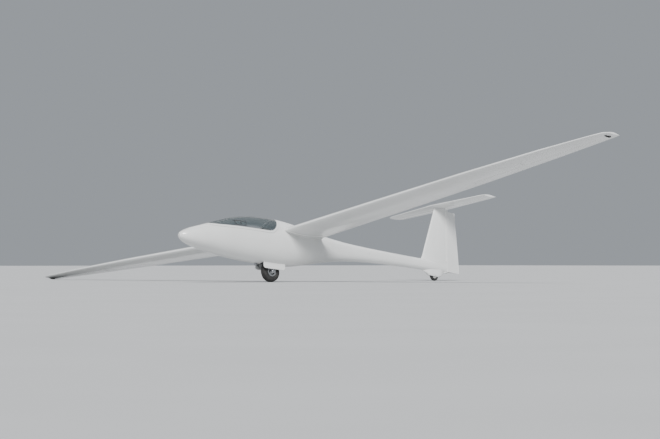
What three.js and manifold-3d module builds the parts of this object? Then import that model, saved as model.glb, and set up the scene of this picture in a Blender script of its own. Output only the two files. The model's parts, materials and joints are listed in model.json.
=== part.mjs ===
// A single-seat 15 m sailplane with a T-tail, parked on its main wheel, tail wheel and right wing tip.
// Millimetres. The glider's own frame has +X forward, +Y to its left and +Z up, with the fuselage level
// as in flight and the origin where the main wheel meets the ground. The last lines lean it over to stand
// parked, nose towards -X.
import * as THREE from 'three';
import { mergeVertices } from 'three/addons/utils/BufferGeometryUtils.js';
import Module from 'manifold-3d';

const wasm = await Module();
wasm.setup();

// Driving dimensions
const SEAT_GAP = 0.35; // between pieces that rest on each other
const SOFT_GAP = 0.8; // under a cushion that lies on a bent sheet
const RUN_GAP = 5; // between pieces that move past each other
const FAR = 600; // wider than the fuselage, for cutting
const PIN_GAP = 0.4; // round a pin

const NOSE_X = 2030;
const TAIL_END = 6395; // length of the fuselage shell, nose to rudder
const HULL_POWER = 2.2; // superellipse power of the fuselage's sections
const HULL_WALL = 12;
const NOSE_BULKHEAD = 260;
const REAR_BULKHEAD = 2330;
const BULKHEAD_SKIM = 0.05; // how far beyond a bulkhead's face its section begins
const MIDDLE_JOIN = 700; // where the cockpit's front and middle sections meet

// Fuselage sections: distance behind the nose, half width, top, bottom, height of the widest place
const HULL = [
  [0, 0, 600, 600, 600],
  [60, 88, 676, 527, 602],
  [200, 158, 745, 467, 610],
  [450, 222, 828, 412, 628],
  [800, 276, 942, 362, 662],
  [1200, 306, 1056, 325, 696],
  [1600, 315, 1112, 305, 712],
  [2030, 312, 1118, 300, 722],
  [2400, 292, 1092, 318, 736],
  [2800, 240, 1036, 385, 745],
  [3200, 178, 974, 475, 748],
  [3700, 128, 918, 560, 750],
  [4300, 108, 884, 612, 752],
  [5100, 95, 860, 634, 750],
  [5900, 78, 844, 644, 746],
  [TAIL_END, 46, 838, 652, 744],
];

// The canopy's lower edge in side view: a front curve, a level sill and a rear curve
const SILL_Z = 800;
const CANOPY_FRONT = { end: [1540, 872], bend: [1500, SILL_Z], sill: [1250, SILL_Z] };
const CANOPY_REAR = { end: [-80, 1150], bend: [40, SILL_Z], sill: [250, SILL_Z] };
const FRAME_HEIGHT = 38;
const FRAME_WALL = 14;
const GLASS_WALL = 5;
const GLASS_JOINS = { rear: 440, front: 940 }; // where the lengths of the clear dome meet
const HINGE_Y = -320;
const HINGE_Z = 808;
const HINGE_PLACES = [250, 800];
const HINGE_PIN_R = 5;
// Hinge lugs along the hinge line, from a hinge's middle: the canopy's lug ends at `inner`, the two on the
// fuselage lie from `outer` to `end`, and the canopy is cut away as far as `room`
const LUG = { inner: 9, outer: 11, end: 24, room: 26, r: 10, clear: 22 };

// Wing sections: distance out along the panel, leading edge, chord, thickness share
const WING = [
  [0, -100, 905, 0.17],
  [355, -100, 900, 0.17],
  [2500, -132, 822, 0.16],
  [4500, -172, 720, 0.15],
  [6200, -250, 545, 0.14],
  [7200, -338, 385, 0.13],
  [7420, -372, 335, 0.13],
  [7510, -448, 240, 0.12],
];
const WING_ROOT = 355;
const WING_Z = 885;
const WING_CAMBER = 0.025;
const DIHEDRAL = THREE.MathUtils.degToRad(3);
const INCIDENCE = THREE.MathUtils.degToRad(2);
const AILERON = { from: 4350, to: 7180, hingeFrom: -705, hingeTo: -622 };
const BRAKE = { from: 2050, to: 3350, x: -545, thick: 14, floor: -22 };
const TIP_SKID = { y: 7400, x: -540, length: 150, width: 16, depth: 22 };

// Fin and rudder sections: height, leading edge, trailing edge
const FIN = [
  [640, -3560, -4724],
  [900, -3750, -4712],
  [1930, -4135, -4640],
];
const FIN_THICKNESS = 0.11;
const FIN_TOP = 1862;
const RUDDER = { bottom: 657, top: 1832, hingeBottom: -4385, hingeTop: -4424 };

// Tailplane and elevator sections: distance out, leading edge, trailing edge
const TAILPLANE = [
  [0, -4020, -4532],
  [1210, -4132, -4484],
  [1275, -4160, -4462],
];
const TAILPLANE_Z = 1902;
const TAILPLANE_THICKNESS = 0.115;
const ELEVATOR = { half: 1195, hinge: -4400 };

const SURFACE_PIN_R = 4.5; // pins of all the control surfaces
const SURFACE_PIN_DEPTH = 16;
const RUDDER_BRACKET = { back: 24, ahead: 88, half: 22, bottom: 638, top: 656 };
const PROBE = { z: 1560, gap: 2.4, length: 210 };

// Undercarriage
const TYRE_R = 185;
const TYRE_HALF = 64;
const RIM_R = 82;
const AXLE_R = 12;
const LEG_Y = 80;
const BAY = { length: 250, half: 100, wall: 5, top: 540 };
const DOOR = { drop: 98, thick: 6 };
// The tail wheel stands in a slot, `slot` wide to each side and `room` long to each end
const TAIL_WHEEL = { x: -4050, z: 560, r: 100, half: 24, rim: 52, axle: 8, slot: 32, room: 135 };

// Seat: the middle line of the moulded shell in side view, from the knees to the shoulders
const SEAT_LINE = [
  [930, 470],
  [760, 398],
  [560, 366],
  [450, 378],
  [385, 425],
  [-60, 925],
];
const SEAT_THICK = 8;

const MATERIAL = Object.fromEntries(
  Object.entries({
    gelcoat: [0xf2f3f0, 0.16, 0],
    glass: [0xcfdfe2, 0.05, 0],
    rubber: [0x1c1c1e, 0.8, 0],
    alloy: [0xb9bcc0, 0.35, 1],
    steel: [0x8b8f94, 0.4, 1],
    trim: [0x8e9298, 0.6, 0],
    panel: [0x2a2c2f, 0.6, 0],
    webbing: [0x2d4f86, 0.85, 0],
    cushion: [0x5d6168, 0.9, 0],
    yellow: [0xe8c21c, 0.4, 0],
    blue: [0x1f55b5, 0.4, 0],
  }).map(([name, [color, roughness, metalness]]) => [
    name,
    new THREE.MeshStandardMaterial({ name, color, roughness, metalness }),
  ]),
);

// Solids from geometry and back

function solid(geometry) {
  const g = geometry.clone();
  g.deleteAttribute('normal');
  g.deleteAttribute('uv');
  const merged = mergeVertices(g, 1e-4);
  const made = new wasm.Manifold(
    new wasm.Mesh({
      numProp: 3,
      vertProperties: new Float32Array(merged.attributes.position.array),
      triVerts: new Uint32Array(merged.index.array),
    }),
  );
  return made;
}

function geometryOf(manifold) {
  const { numProp, vertProperties, triVerts } = manifold.getMesh();
  const count = vertProperties.length / numProp;
  const position = new Float32Array(count * 3);
  for (let i = 0; i < count; i++) {
    position.set(vertProperties.subarray(i * numProp, i * numProp + 3), i * 3);
  }
  return new THREE.BufferGeometry()
    .setAttribute('position', new THREE.BufferAttribute(position, 3))
    .setIndex(new THREE.BufferAttribute(new Uint32Array(triVerts), 1));
}

const join = (first, ...others) => others.reduce((sum, other) => sum.add(other), first);
const cut = (first, ...others) => others.reduce((rest, other) => rest.subtract(other), first);
const common = (first, ...others) => others.reduce((rest, other) => rest.intersect(other), first);

// A skin through rings of points, closed by flat ends. Rings may be one point. `flat` gives the two axes
// of the plane that a ring lies in.
function loft(rings, flat) {
  const positions = [];
  const faces = [];
  const starts = rings.map((ring) => {
    const start = positions.length / 3;
    ring.forEach((p) => positions.push(p.x, p.y, p.z));
    return start;
  });
  for (let k = 0; k + 1 < rings.length; k++) {
    const [a, b] = [rings[k].length, rings[k + 1].length];
    const count = Math.max(a, b);
    for (let i = 0; i < count; i++) {
      const [a0, a1] = [starts[k] + (i % a), starts[k] + ((i + 1) % a)];
      const [b0, b1] = [starts[k + 1] + (i % b), starts[k + 1] + ((i + 1) % b)];
      if (a > 1) faces.push(a0, a1, b0);
      if (b > 1) faces.push(a1, b1, b0);
    }
  }
  [0, rings.length - 1].forEach((k) => {
    if (rings[k].length < 3) return;
    const outline = rings[k].map((p) => new THREE.Vector2(p[flat[0]], p[flat[1]]));
    const first = k === 0;
    THREE.ShapeUtils.triangulateShape(outline, []).forEach(([p, q, r]) => {
      const flip = sameTurn(outline, [p, q, r]) === first;
      faces.push(starts[k] + p, starts[k] + (flip ? r : q), starts[k] + (flip ? q : r));
    });
  });
  const geometry = new THREE.BufferGeometry()
    .setAttribute('position', new THREE.BufferAttribute(new Float32Array(positions), 3))
    .setIndex(faces);
  const made = solid(geometry);
  if (made.volume() > 0) return made;
  for (let i = 0; i < faces.length; i += 3) [faces[i + 1], faces[i + 2]] = [faces[i + 2], faces[i + 1]];
  return solid(geometry.setIndex(faces));
}

// Whether a triangle of an outline runs the same way round as the outline's own points
function sameTurn(outline, triangle) {
  const corners = triangle.map((i) => outline[i]);
  return THREE.ShapeUtils.isClockWise(corners) === THREE.ShapeUtils.isClockWise(outline);
}

const box = (x0, x1, y0, y1, z0, z1) =>
  solid(
    new THREE.BoxGeometry(x1 - x0, y1 - y0, z1 - z0).translate((x0 + x1) / 2, (y0 + y1) / 2, (z0 + z1) / 2),
  );

// A round bar from a to b, which may taper
function bar(a, b, r, rEnd = r, sides = 16) {
  const along = new THREE.Vector3().subVectors(b, a);
  const way = along.clone().normalize();
  const turn = new THREE.Quaternion().setFromUnitVectors(new THREE.Vector3(0, 1, 0), way);
  return solid(
    new THREE.CylinderGeometry(rEnd, r, along.length(), sides)
      .applyQuaternion(turn)
      .translate((a.x + b.x) / 2, (a.y + b.y) / 2, (a.z + b.z) / 2),
  );
}

const at = (x, y, z) => new THREE.Vector3(x, y, z);
const shapeOf = (points) => new THREE.Shape(points.map(([x, y]) => new THREE.Vector2(x, y)));

// A side-view outline (x, z) carried from y0 to y1
function slab(outline, y0, y1) {
  return solid(
    new THREE.ExtrudeGeometry(shapeOf(outline), { depth: y1 - y0, bevelEnabled: false })
      .rotateX(Math.PI / 2)
      .translate(0, y1, 0),
  );
}

// A front-view outline (y, z) carried from x0 to x1
function plate(outline, x0, x1) {
  return solid(
    new THREE.ExtrudeGeometry(shapeOf(outline), { depth: x1 - x0, bevelEnabled: false })
      .rotateX(Math.PI / 2)
      .rotateZ(Math.PI / 2)
      .translate(x0, 0, 0),
  );
}

// The outline of a strip of even thickness along a line of (x, z) points, shifted sideways off the line
function strip(line, thick, shift = 0) {
  const normals = line.map((p, i) => {
    const a = line[Math.max(i - 1, 0)];
    const b = line[Math.min(i + 1, line.length - 1)];
    const [dx, dz] = [b[0] - a[0], b[1] - a[1]];
    const length = Math.hypot(dx, dz);
    return [dz / length, -dx / length];
  });
  const side = (off) => line.map(([x, z], i) => [x + normals[i][0] * off, z + normals[i][1] * off]);
  return [...side(shift + thick / 2), ...side(shift - thick / 2).reverse()];
}

// A column of a table at a place between its rows, on a curve that doesn't overshoot
function between(rows, column, place, scale = (v) => v) {
  const xs = rows.map((row) => scale(row[0]));
  const ys = rows.map((row) => row[column]);
  const x = scale(Math.min(Math.max(place, rows[0][0]), rows[rows.length - 1][0]));
  const last = rows.length - 2;
  const steps = xs.slice(1).map((v, i) => v - xs[i]);
  const slopes = ys.slice(1).map((v, i) => (v - ys[i]) / steps[i]);
  const tangent = (i) => {
    if (i === 0) return slopes[0];
    if (i > last) return slopes[last];
    const mean = (slopes[i - 1] * steps[i] + slopes[i] * steps[i - 1]) / (steps[i - 1] + steps[i]);
    const least = Math.min(Math.abs(slopes[i - 1]), Math.abs(slopes[i]), Math.abs(mean) / 2);
    return (Math.sign(slopes[i - 1]) + Math.sign(slopes[i])) * least;
  };
  const i = Math.min(Math.max(xs.findIndex((v) => v > x) - 1, 0), last);
  const k = xs.some((v) => v > x) ? i : last;
  const t = (x - xs[k]) / steps[k];
  const [m0, m1] = [tangent(k) * steps[k], tangent(k + 1) * steps[k]];
  const low = ys[k] * (1 + 2 * t) * (1 - t) ** 2 + m0 * t * (1 - t) ** 2;
  return low + ys[k + 1] * t * t * (3 - 2 * t) + m1 * t * t * (t - 1);
}

const straight = (rows, column, place) => {
  const k = Math.max(1, Math.min(rows.length - 1, rows.findIndex((row) => row[0] >= place)));
  const t = (place - rows[k - 1][0]) / (rows[k][0] - rows[k - 1][0]);
  return THREE.MathUtils.lerp(rows[k - 1][column], rows[k][column], t);
};

// Fuselage

// A point of the fuselage's section, `inset` inside its skin. Angle 0 is its left side and a quarter turn
// is its top.
function hullPoint(distance, angle, inset) {
  const [half, top, bottom, wide] = [1, 2, 3, 4].map((c) => between(HULL, c, distance, Math.sqrt));
  const power = 2 / HULL_POWER;
  const shape = (v) => Math.sign(v) * Math.abs(v) ** power;
  const up = Math.sin(angle) > 0 ? top - wide : wide - bottom;
  return at(
    NOSE_X - distance,
    Math.max(half - inset, 0) * shape(Math.cos(angle)),
    wide + Math.max(up - inset, 0) * shape(Math.sin(angle)),
  );
}

// The fuselage between two distances behind the nose, `inset` inside its skin
function hull(from, to, inset, stations, points) {
  const rings = Array.from({ length: stations + 1 }, (_, i) => {
    const share = i / stations;
    const distance = (Math.sqrt(from) * (1 - share) + Math.sqrt(to) * share) ** 2;
    if (distance === 0 && inset >= 0) return [hullPoint(0, 0, 0)];
    return Array.from({ length: points }, (_, k) => hullPoint(distance, (k / points) * 2 * Math.PI, inset));
  });
  return loft(rings, ['y', 'z']);
}

const HULL_STATIONS = 34;
const HULL_POINTS = 28;
const skin = hull(0, TAIL_END, 0, HULL_STATIONS, HULL_POINTS);
const skinGrown = hull(0, TAIL_END, -SEAT_GAP, HULL_STATIONS, HULL_POINTS);
const cabin = (inset) => hull(NOSE_BULKHEAD, REAR_BULKHEAD, inset, 14, HULL_POINTS);

const SILL_STEPS = 10;
const ROOF_Z = 1500; // above everything that is cut from the fuselage

// Everything above the canopy's lower edge, moved up by `lift` at right angles to that edge
function aboveSill(lift) {
  const curve = ({ end, bend, sill }) => {
    const points = [end, bend, sill].map(([x, z]) => new THREE.Vector2(x, z));
    return new THREE.QuadraticBezierCurve(...points).getPoints(SILL_STEPS);
  };
  const edge = [...curve(CANOPY_FRONT), ...curve(CANOPY_REAR).reverse()].map(({ x, y }) => [x, y]);
  const raised = strip(edge, 0, lift).slice(0, edge.length);
  return slab([...raised, [raised.at(-1)[0], ROOF_Z], [raised[0][0], ROOF_Z]], -FAR, FAR);
}

// The wing's section: thickest at two fifths of the chord and slim towards its trailing edge
const THICKEST = 0.4;
const TAIL_SLOPE = 0.15;
const NOSE_ROUND = 0.2969;
const EDGE_HALF = 2;
const SHARES = [0, 0.004, 0.018, 0.045, 0.09, 0.16, 0.25, 0.36, 0.48, 0.6, 0.72, 0.83, 0.93, 1];

function halfThickness(share, thickness) {
  const m = THICKEST;
  const rear = 1 - m;
  const rho = (0.2 * rear ** 2) / (0.588 - 2 * TAIL_SLOPE * rear);
  const front = [
    0.3 / m - (15 * NOSE_ROUND) / (8 * Math.sqrt(m)) - m / (10 * rho),
    -0.3 / m ** 2 + (5 * NOSE_ROUND) / (4 * m ** 1.5) + 1 / (5 * rho),
    0.1 / m ** 3 - (0.375 * NOSE_ROUND) / m ** 2.5 - 1 / (10 * rho * m),
  ];
  const back = [
    TAIL_SLOPE,
    (0.294 - 2 * rear * TAIL_SLOPE) / rear ** 2,
    (-0.196 + rear * TAIL_SLOPE) / rear ** 3,
  ];
  const s = share;
  const q = 1 - s;
  const unit =
    s < m
      ? NOSE_ROUND * Math.sqrt(s) + front[0] * s + front[1] * s ** 2 + front[2] * s ** 3
      : back[0] * q + back[1] * q ** 2 + back[2] * q ** 3;
  return (unit * thickness) / 0.2;
}

const CAMBER_AT = 0.45;
function camberLine(share, camber) {
  const p = CAMBER_AT;
  return share < p
    ? (camber / p ** 2) * (2 * p * share - share ** 2)
    : (camber / (1 - p) ** 2) * (1 - 2 * p + 2 * p * share - share ** 2);
}

// Points round a section as [share of chord, height], from the upper trailing edge by the nose to the
// lower one
function foil(chord, thickness, camber) {
  const half = (s) => Math.max(halfThickness(s, thickness) * chord, s > THICKEST ? EDGE_HALF : 0);
  const upper = SHARES.map((s) => [s, camberLine(s, camber) * chord + half(s)]);
  const lower = SHARES.slice(1).map((s) => [s, camberLine(s, camber) * chord - half(s)]);
  return [...upper.reverse(), ...lower];
}

// Control surfaces. A body is parted along a straight hinge line, given as points with the body's half
// thickness at each. What lies behind the line moves: it gets a round nose on the line, and the fixed part
// a hollow round it. `behind(gap)` gives the space that the moving part may fill, `gap` clear of the fixed
// part's ends.
function hinged(body, line, behind) {
  const [a, b] = [line[0].point, line.at(-1).point];
  const along = new THREE.Vector3().subVectors(b, a).normalize();
  const offA = (off) => a.clone().addScaledVector(along, off);
  const offB = (off) => b.clone().addScaledVector(along, -off);
  const round = (grow, short) => {
    const span = a.distanceTo(b);
    const places = line.map(({ point }) => Math.min(Math.max(a.distanceTo(point), short), span - short));
    const profile = line.map(({ r }, i) => new THREE.Vector2(r + grow, places[i]));
    const ends = [places[0], places.at(-1)].map((place) => new THREE.Vector2(0, place));
    const turn = new THREE.Quaternion().setFromUnitVectors(at(0, 1, 0), along);
    const made = new THREE.LatheGeometry([ends[0], ...profile, ends[1]], 20);
    return solid(made.applyQuaternion(turn).translate(a.x, a.y, a.z));
  };
  const pins = (r, deep) => [
    bar(offA(-SURFACE_PIN_DEPTH), offA(RUN_GAP + deep), r),
    bar(offB(-SURFACE_PIN_DEPTH), offB(RUN_GAP + deep), r),
  ];
  return {
    hollow: join(behind(0), round(RUN_GAP, 0)),
    fixed: join(cut(body, join(behind(0), round(RUN_GAP, 0))), ...pins(SURFACE_PIN_R, SURFACE_PIN_DEPTH)),
    moving: cut(
      join(common(body, behind(RUN_GAP)), round(0, RUN_GAP)),
      ...pins(SURFACE_PIN_R + PIN_GAP, SURFACE_PIN_DEPTH + RUN_GAP),
    ),
  };
}

// Wings

const wingSection = (y) => ({
  lead: straight(WING, 1, y),
  chord: straight(WING, 2, y),
  thickness: straight(WING, 3, y),
});

function wingRing(y) {
  const { lead, chord, thickness } = wingSection(y);
  return foil(chord, thickness, WING_CAMBER).map(([s, z]) => at(lead - s * chord, y, z));
}

function wingPoint(y, x) {
  const { lead, chord, thickness } = wingSection(y);
  const share = (lead - x) / chord;
  return { middle: camberLine(share, WING_CAMBER) * chord, half: halfThickness(share, thickness) * chord };
}

function wingPieces() {
  const rows = [WING_ROOT + SEAT_GAP, ...WING.map((row) => row[0]).filter((y) => y > WING_ROOT)];
  const panel = loft(rows.map(wingRing), ['x', 'z']);
  const { from, to, hingeFrom, hingeTo } = AILERON;
  const ends = [wingPoint(from, hingeFrom).middle, wingPoint(to, hingeTo).middle];
  const line = [from, ...rows.filter((y) => y > from + 200 && y < to), to].map((y) => {
    const share = (y - from) / (to - from);
    const x = THREE.MathUtils.lerp(hingeFrom, hingeTo, share);
    return { point: at(x, y, THREE.MathUtils.lerp(...ends, share)), r: wingPoint(y, x).half };
  });
  const behind = (gap) =>
    solid(
      new THREE.ExtrudeGeometry(
        shapeOf([
          [hingeFrom, from + gap],
          [hingeTo, to - gap],
          [hingeTo - 600, to - gap],
          [hingeFrom - 600, from + gap],
        ]),
        { depth: 400, bevelEnabled: false },
      ).translate(0, 0, -200),
    );
  const aileron = hinged(panel, line, behind);
  const { x, thick, floor } = BRAKE;
  const slot = box(
    x - thick / 2 - RUN_GAP, x + thick / 2 + RUN_GAP,
    BRAKE.from - RUN_GAP, BRAKE.to + RUN_GAP,
    floor, 200,
  );
  const blade = box(x - thick / 2, x + thick / 2, BRAKE.from, BRAKE.to, floor + SEAT_GAP, 200);
  return {
    wing: cut(aileron.fixed, slot),
    aileron: aileron.moving,
    brake: common(panel, blade),
    line,
  };
}

const wingPlace = new THREE.Matrix4()
  .makeTranslation(0, 0, WING_Z)
  .multiply(new THREE.Matrix4().makeRotationFromEuler(new THREE.Euler(DIHEDRAL, -INCIDENCE, 0)));
const mirror = new THREE.Matrix4().makeScale(1, -1, 1);

// A geometry moved by a matrix that may mirror it
function placed(manifold, matrix) {
  const g = geometryOf(manifold).applyMatrix4(matrix);
  if (matrix.determinant() < 0) {
    const index = g.index.array;
    for (let i = 0; i < index.length; i += 3) [index[i + 1], index[i + 2]] = [index[i + 2], index[i + 1]];
  }
  return solid(g);
}

function rootStubs() {
  const stub = loft([0, WING_ROOT / 2, WING_ROOT].map(wingRing), ['x', 'z']);
  return [placed(stub, wingPlace), placed(stub, mirror.clone().multiply(wingPlace))];
}

function tipSkid() {
  const { y, x, length, width, depth } = TIP_SKID;
  const { middle, half } = wingPoint(y, x);
  const under = middle - half;
  const outline = [
    [x - length / 2, under + 12],
    [x - length / 2 + 22, under - depth],
    [x + length / 2 - 22, under - depth],
    [x + length / 2, under + 12],
  ];
  const panel = loft([7200, 7420, 7510].map(wingRing), ['x', 'z']);
  const lowered = placed(panel, new THREE.Matrix4().makeTranslation(0, 0, -SEAT_GAP));
  return cut(slab(outline, y - width / 2, y + width / 2), panel, lowered);
}

// Tail

function finRing(z) {
  const lead = straight(FIN, 1, z);
  const chord = lead - straight(FIN, 2, z);
  return foil(chord, FIN_THICKNESS, 0).map(([s, y]) => at(lead - s * chord, y, z));
}

function finHalf(z, x) {
  const lead = straight(FIN, 1, z);
  const chord = lead - straight(FIN, 2, z);
  return halfThickness((lead - x) / chord, FIN_THICKNESS) * chord;
}

function tailplaneRing(y) {
  const out = Math.abs(y);
  const lead = straight(TAILPLANE, 1, out);
  const chord = lead - straight(TAILPLANE, 2, out);
  return foil(chord, TAILPLANE_THICKNESS, 0).map(([s, z]) => at(lead - s * chord, y, TAILPLANE_Z + z));
}

function tailplaneHalf(y, x) {
  const lead = straight(TAILPLANE, 1, y);
  const chord = lead - straight(TAILPLANE, 2, y);
  return halfThickness((lead - x) / chord, TAILPLANE_THICKNESS) * chord;
}

function tailplanePieces() {
  const outs = TAILPLANE.map((row) => row[0]);
  const span = [...outs.slice(1).reverse().map((y) => -y), ...outs];
  const whole = loft(span.map(tailplaneRing), ['x', 'z']);
  const { half, hinge } = ELEVATOR;
  const line = [-half, 0, half].map((y) => ({
    point: at(hinge, y, TAILPLANE_Z),
    r: tailplaneHalf(Math.abs(y), hinge),
  }));
  const behind = (gap) =>
    box(hinge - 400, hinge, -half + gap, half - gap, TAILPLANE_Z - 100, TAILPLANE_Z + 100);
  return { whole, line, ...hinged(whole, line, behind) };
}

function finPieces(tailplane) {
  const whole = loft(FIN.map((row) => finRing(row[0])), ['x', 'y']);
  const { bottom, top, hingeBottom, hingeTop } = RUDDER;
  const line = [bottom, FIN[1][0], top].map((z) => {
    const x = THREE.MathUtils.mapLinear(z, bottom, top, hingeBottom, hingeTop);
    return { point: at(x, 0, z), r: finHalf(z, x) };
  });
  const behind = (gap) =>
    slab(
      [
        [hingeBottom, bottom + gap],
        [hingeTop, top - gap],
        [hingeTop - 600, top - gap],
        [hingeBottom - 600, bottom + gap],
      ],
      -200,
      200,
    );
  const lowered = placed(tailplane, new THREE.Matrix4().makeTranslation(0, 0, -SEAT_GAP));
  const made = hinged(whole, line, behind);
  const step = box(-5000, ELEVATOR.hinge + 24, -200, 200, FIN_TOP, 2100);
  const tailBox = box(-5000, hingeTop - 22, -200, 200, 500, 2100);
  const below = box(-5000, 0, -200, 200, 400, 760);
  const above = box(-5000, 0, -200, 200, TAILPLANE_Z, 2100);
  const fin = cut(made.fixed, skinGrown, tailplane, lowered, step, tailBox, below, above);
  return { fin, rudder: made.moving, line, hollow: made.hollow };
}

// Gathers the pieces. Each one is a named mesh in the group of the body that it moves with.

const glider = new THREE.Group();
glider.name = 'glider';

function piece(name, manifold, material, parent = glider) {
  const mesh = new THREE.Mesh(geometryOf(manifold), MATERIAL[material]);
  mesh.name = name;
  parent.add(mesh);
  return mesh;
}

// A marker for a joint, where it turns or slides, or for a mount's face, with its direction
function marker(name, position, way, parent) {
  const mark = new THREE.Object3D();
  mark.name = name;
  mark.position.copy(position);
  mark.userData.way = way.clone().normalize();
  parent.add(mark);
}
const joint = (name, position, way, parent = glider) => marker(`joint_${name}`, position, way, parent);
const mount = (name, position, way, parent = glider) => marker(`mount_${name}`, position, way, parent);

const wayOf = (line) => new THREE.Vector3().subVectors(line.at(-1).point, line[0].point);

const SIDES = { left: 1, right: -1 };

function addWings() {
  const { wing, aileron, brake, line } = wingPieces();
  const skid = tipSkid();
  const [tipY, tipLead, tipChord] = WING.at(-1);
  const tipX = tipLead - 0.35 * tipChord;
  const tipZ = wingPoint(tipY, tipX).middle;
  for (const [side, sign] of Object.entries(SIDES)) {
    const panel = new THREE.Group();
    wingPlace.decompose(panel.position, panel.quaternion, panel.scale);
    const half = new THREE.Group();
    half.scale.y = sign;
    half.add(panel);
    glider.add(half);
    piece(`wing_${side}`, wing, 'gelcoat', panel);
    piece(`aileron_${side}`, aileron, 'gelcoat', panel);
    piece(`airbrake_${side}`, brake, 'alloy', panel);
    piece(`tip_skid_${side}`, skid, 'rubber', panel);
    joint(`aileron_${side}`, line[0].point, wayOf(line), panel);
    joint(`airbrake_${side}`, at(BRAKE.x, BRAKE.from, BRAKE.floor), at(0, 0, 1), panel);
    mount(`wing_tip_${side}`, at(tipX, tipY, tipZ), at(0, 1, 0), panel);
  }
}

function addTail() {
  const tailplane = tailplanePieces();
  const fin = finPieces(tailplane.whole);
  piece('tailplane', tailplane.fixed, 'gelcoat');
  piece('elevator', tailplane.moving, 'gelcoat');
  piece('fin', fin.fin, 'gelcoat');
  piece('rudder', fin.rudder, 'gelcoat');
  joint('elevator', tailplane.line[0].point, wayOf(tailplane.line));
  joint('rudder', fin.line[0].point, wayOf(fin.line));
  const { z, gap, length } = PROBE;
  const foot = straight(FIN, 1, z) + gap;
  const tip = foot + length;
  const probe = join(
    bar(at(foot, 0, z), at(tip, 0, z + 6), 5, 4, 12),
    bar(at(tip - 4, 0, z + 5), at(tip + 40, 0, z + 42), 4, 4, 12),
  );
  piece('fin_probe', probe, 'steel');
  return fin;
}

// The fuselage shell with its wing stubs, cockpit, wheel openings, canopy hinges and rudder bracket
function addFuselage(fin) {
  const { x, slot, room } = TAIL_WHEEL;
  const wheelHole = box(-BAY.length, BAY.length, -BAY.half, BAY.half, 200, 420);
  const tailHole = box(x - room, x + room, -slot, slot, 500, 700);
  const { back, ahead, half: across, bottom, top } = RUDDER_BRACKET;
  const bracket = box(RUDDER.hingeBottom - back, RUDDER.hingeBottom + ahead, -across, across, bottom, top);
  const pinFoot = fin.line[0].point;
  const pinWay = wayOf(fin.line).normalize();
  const lowerPin = bar(
    pinFoot.clone().addScaledVector(pinWay, -SURFACE_PIN_DEPTH),
    pinFoot.clone().addScaledVector(pinWay, RUN_GAP + SURFACE_PIN_DEPTH),
    SURFACE_PIN_R,
  );
  const lugs = HINGE_PLACES.flatMap((place) => [
    hingeLug(place - LUG.end, place - LUG.outer, -1),
    hingeLug(place + LUG.outer, place + LUG.end, -1),
    hingeBar(place - LUG.end, place + LUG.end, HINGE_PIN_R),
  ]);
  const shell = join(
    cut(
      join(skin, ...rootStubs()),
      aboveSill(-RUN_GAP / 2),
      cabin(HULL_WALL),
      wheelHole,
      tailHole,
      fin.hollow,
      ...HINGE_PLACES.map((place) => lugRoom(place - LUG.outer, place + LUG.outer)),
    ),
    bracket,
    lowerPin,
    ...lugs,
  );
  // The shell is parted at its two bulkheads, and the cockpit also across and along its middle
  const half = SEAT_GAP / 2;
  const nose = NOSE_X - NOSE_BULKHEAD;
  const rear = NOSE_X - REAR_BULKHEAD;
  const sections = {
    fuselage_nose: [nose + BULKHEAD_SKIM, NOSE_X + 1, -FAR, FAR],
    fuselage_rear: [NOSE_X - TAIL_END - 200, rear - BULKHEAD_SKIM, -FAR, FAR],
  };
  for (const [side, span] of Object.entries(HALVES)) {
    sections[`fuselage_front_${side}`] = [MIDDLE_JOIN + half, nose + BULKHEAD_SKIM - SEAT_GAP, ...span];
    sections[`fuselage_middle_${side}`] = [rear - BULKHEAD_SKIM + SEAT_GAP, MIDDLE_JOIN - half, ...span];
  }
  for (const [name, span] of Object.entries(sections)) {
    piece(name, common(shell, box(...span, 0, 2 * ROOF_Z)), 'gelcoat');
  }
}

// The space to each side of the middle
const HALVES = { left: [SEAT_GAP / 2, FAR], right: [-FAR, -SEAT_GAP / 2] };

// A bar along the canopy's hinge line
const hingeBar = (x0, x1, r) => bar(at(x0, HINGE_Y, HINGE_Z), at(x1, HINGE_Y, HINGE_Z), r);

// A canopy hinge lug round the hinge line, reaching down into the fuselage side or up into the canopy frame
function hingeLug(x0, x1, up) {
  const reach = HINGE_Y + (up > 0 ? 60 : 30);
  const arm = plate(
    [
      [HINGE_Y - 9, HINGE_Z],
      [HINGE_Y, HINGE_Z + up * 9],
      [reach, HINGE_Z + up * 30],
      [reach, HINGE_Z + up * 12],
      [HINGE_Y + 9, HINGE_Z],
      [HINGE_Y, HINGE_Z - up * 9],
    ],
    x0,
    x1,
  );
  return join(arm, hingeBar(x0, x1, LUG.r));
}

// Room round the hinge line for the other half's lug
const lugRoom = (x0, x1) => hingeBar(x0, x1, LUG.clear);

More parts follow.
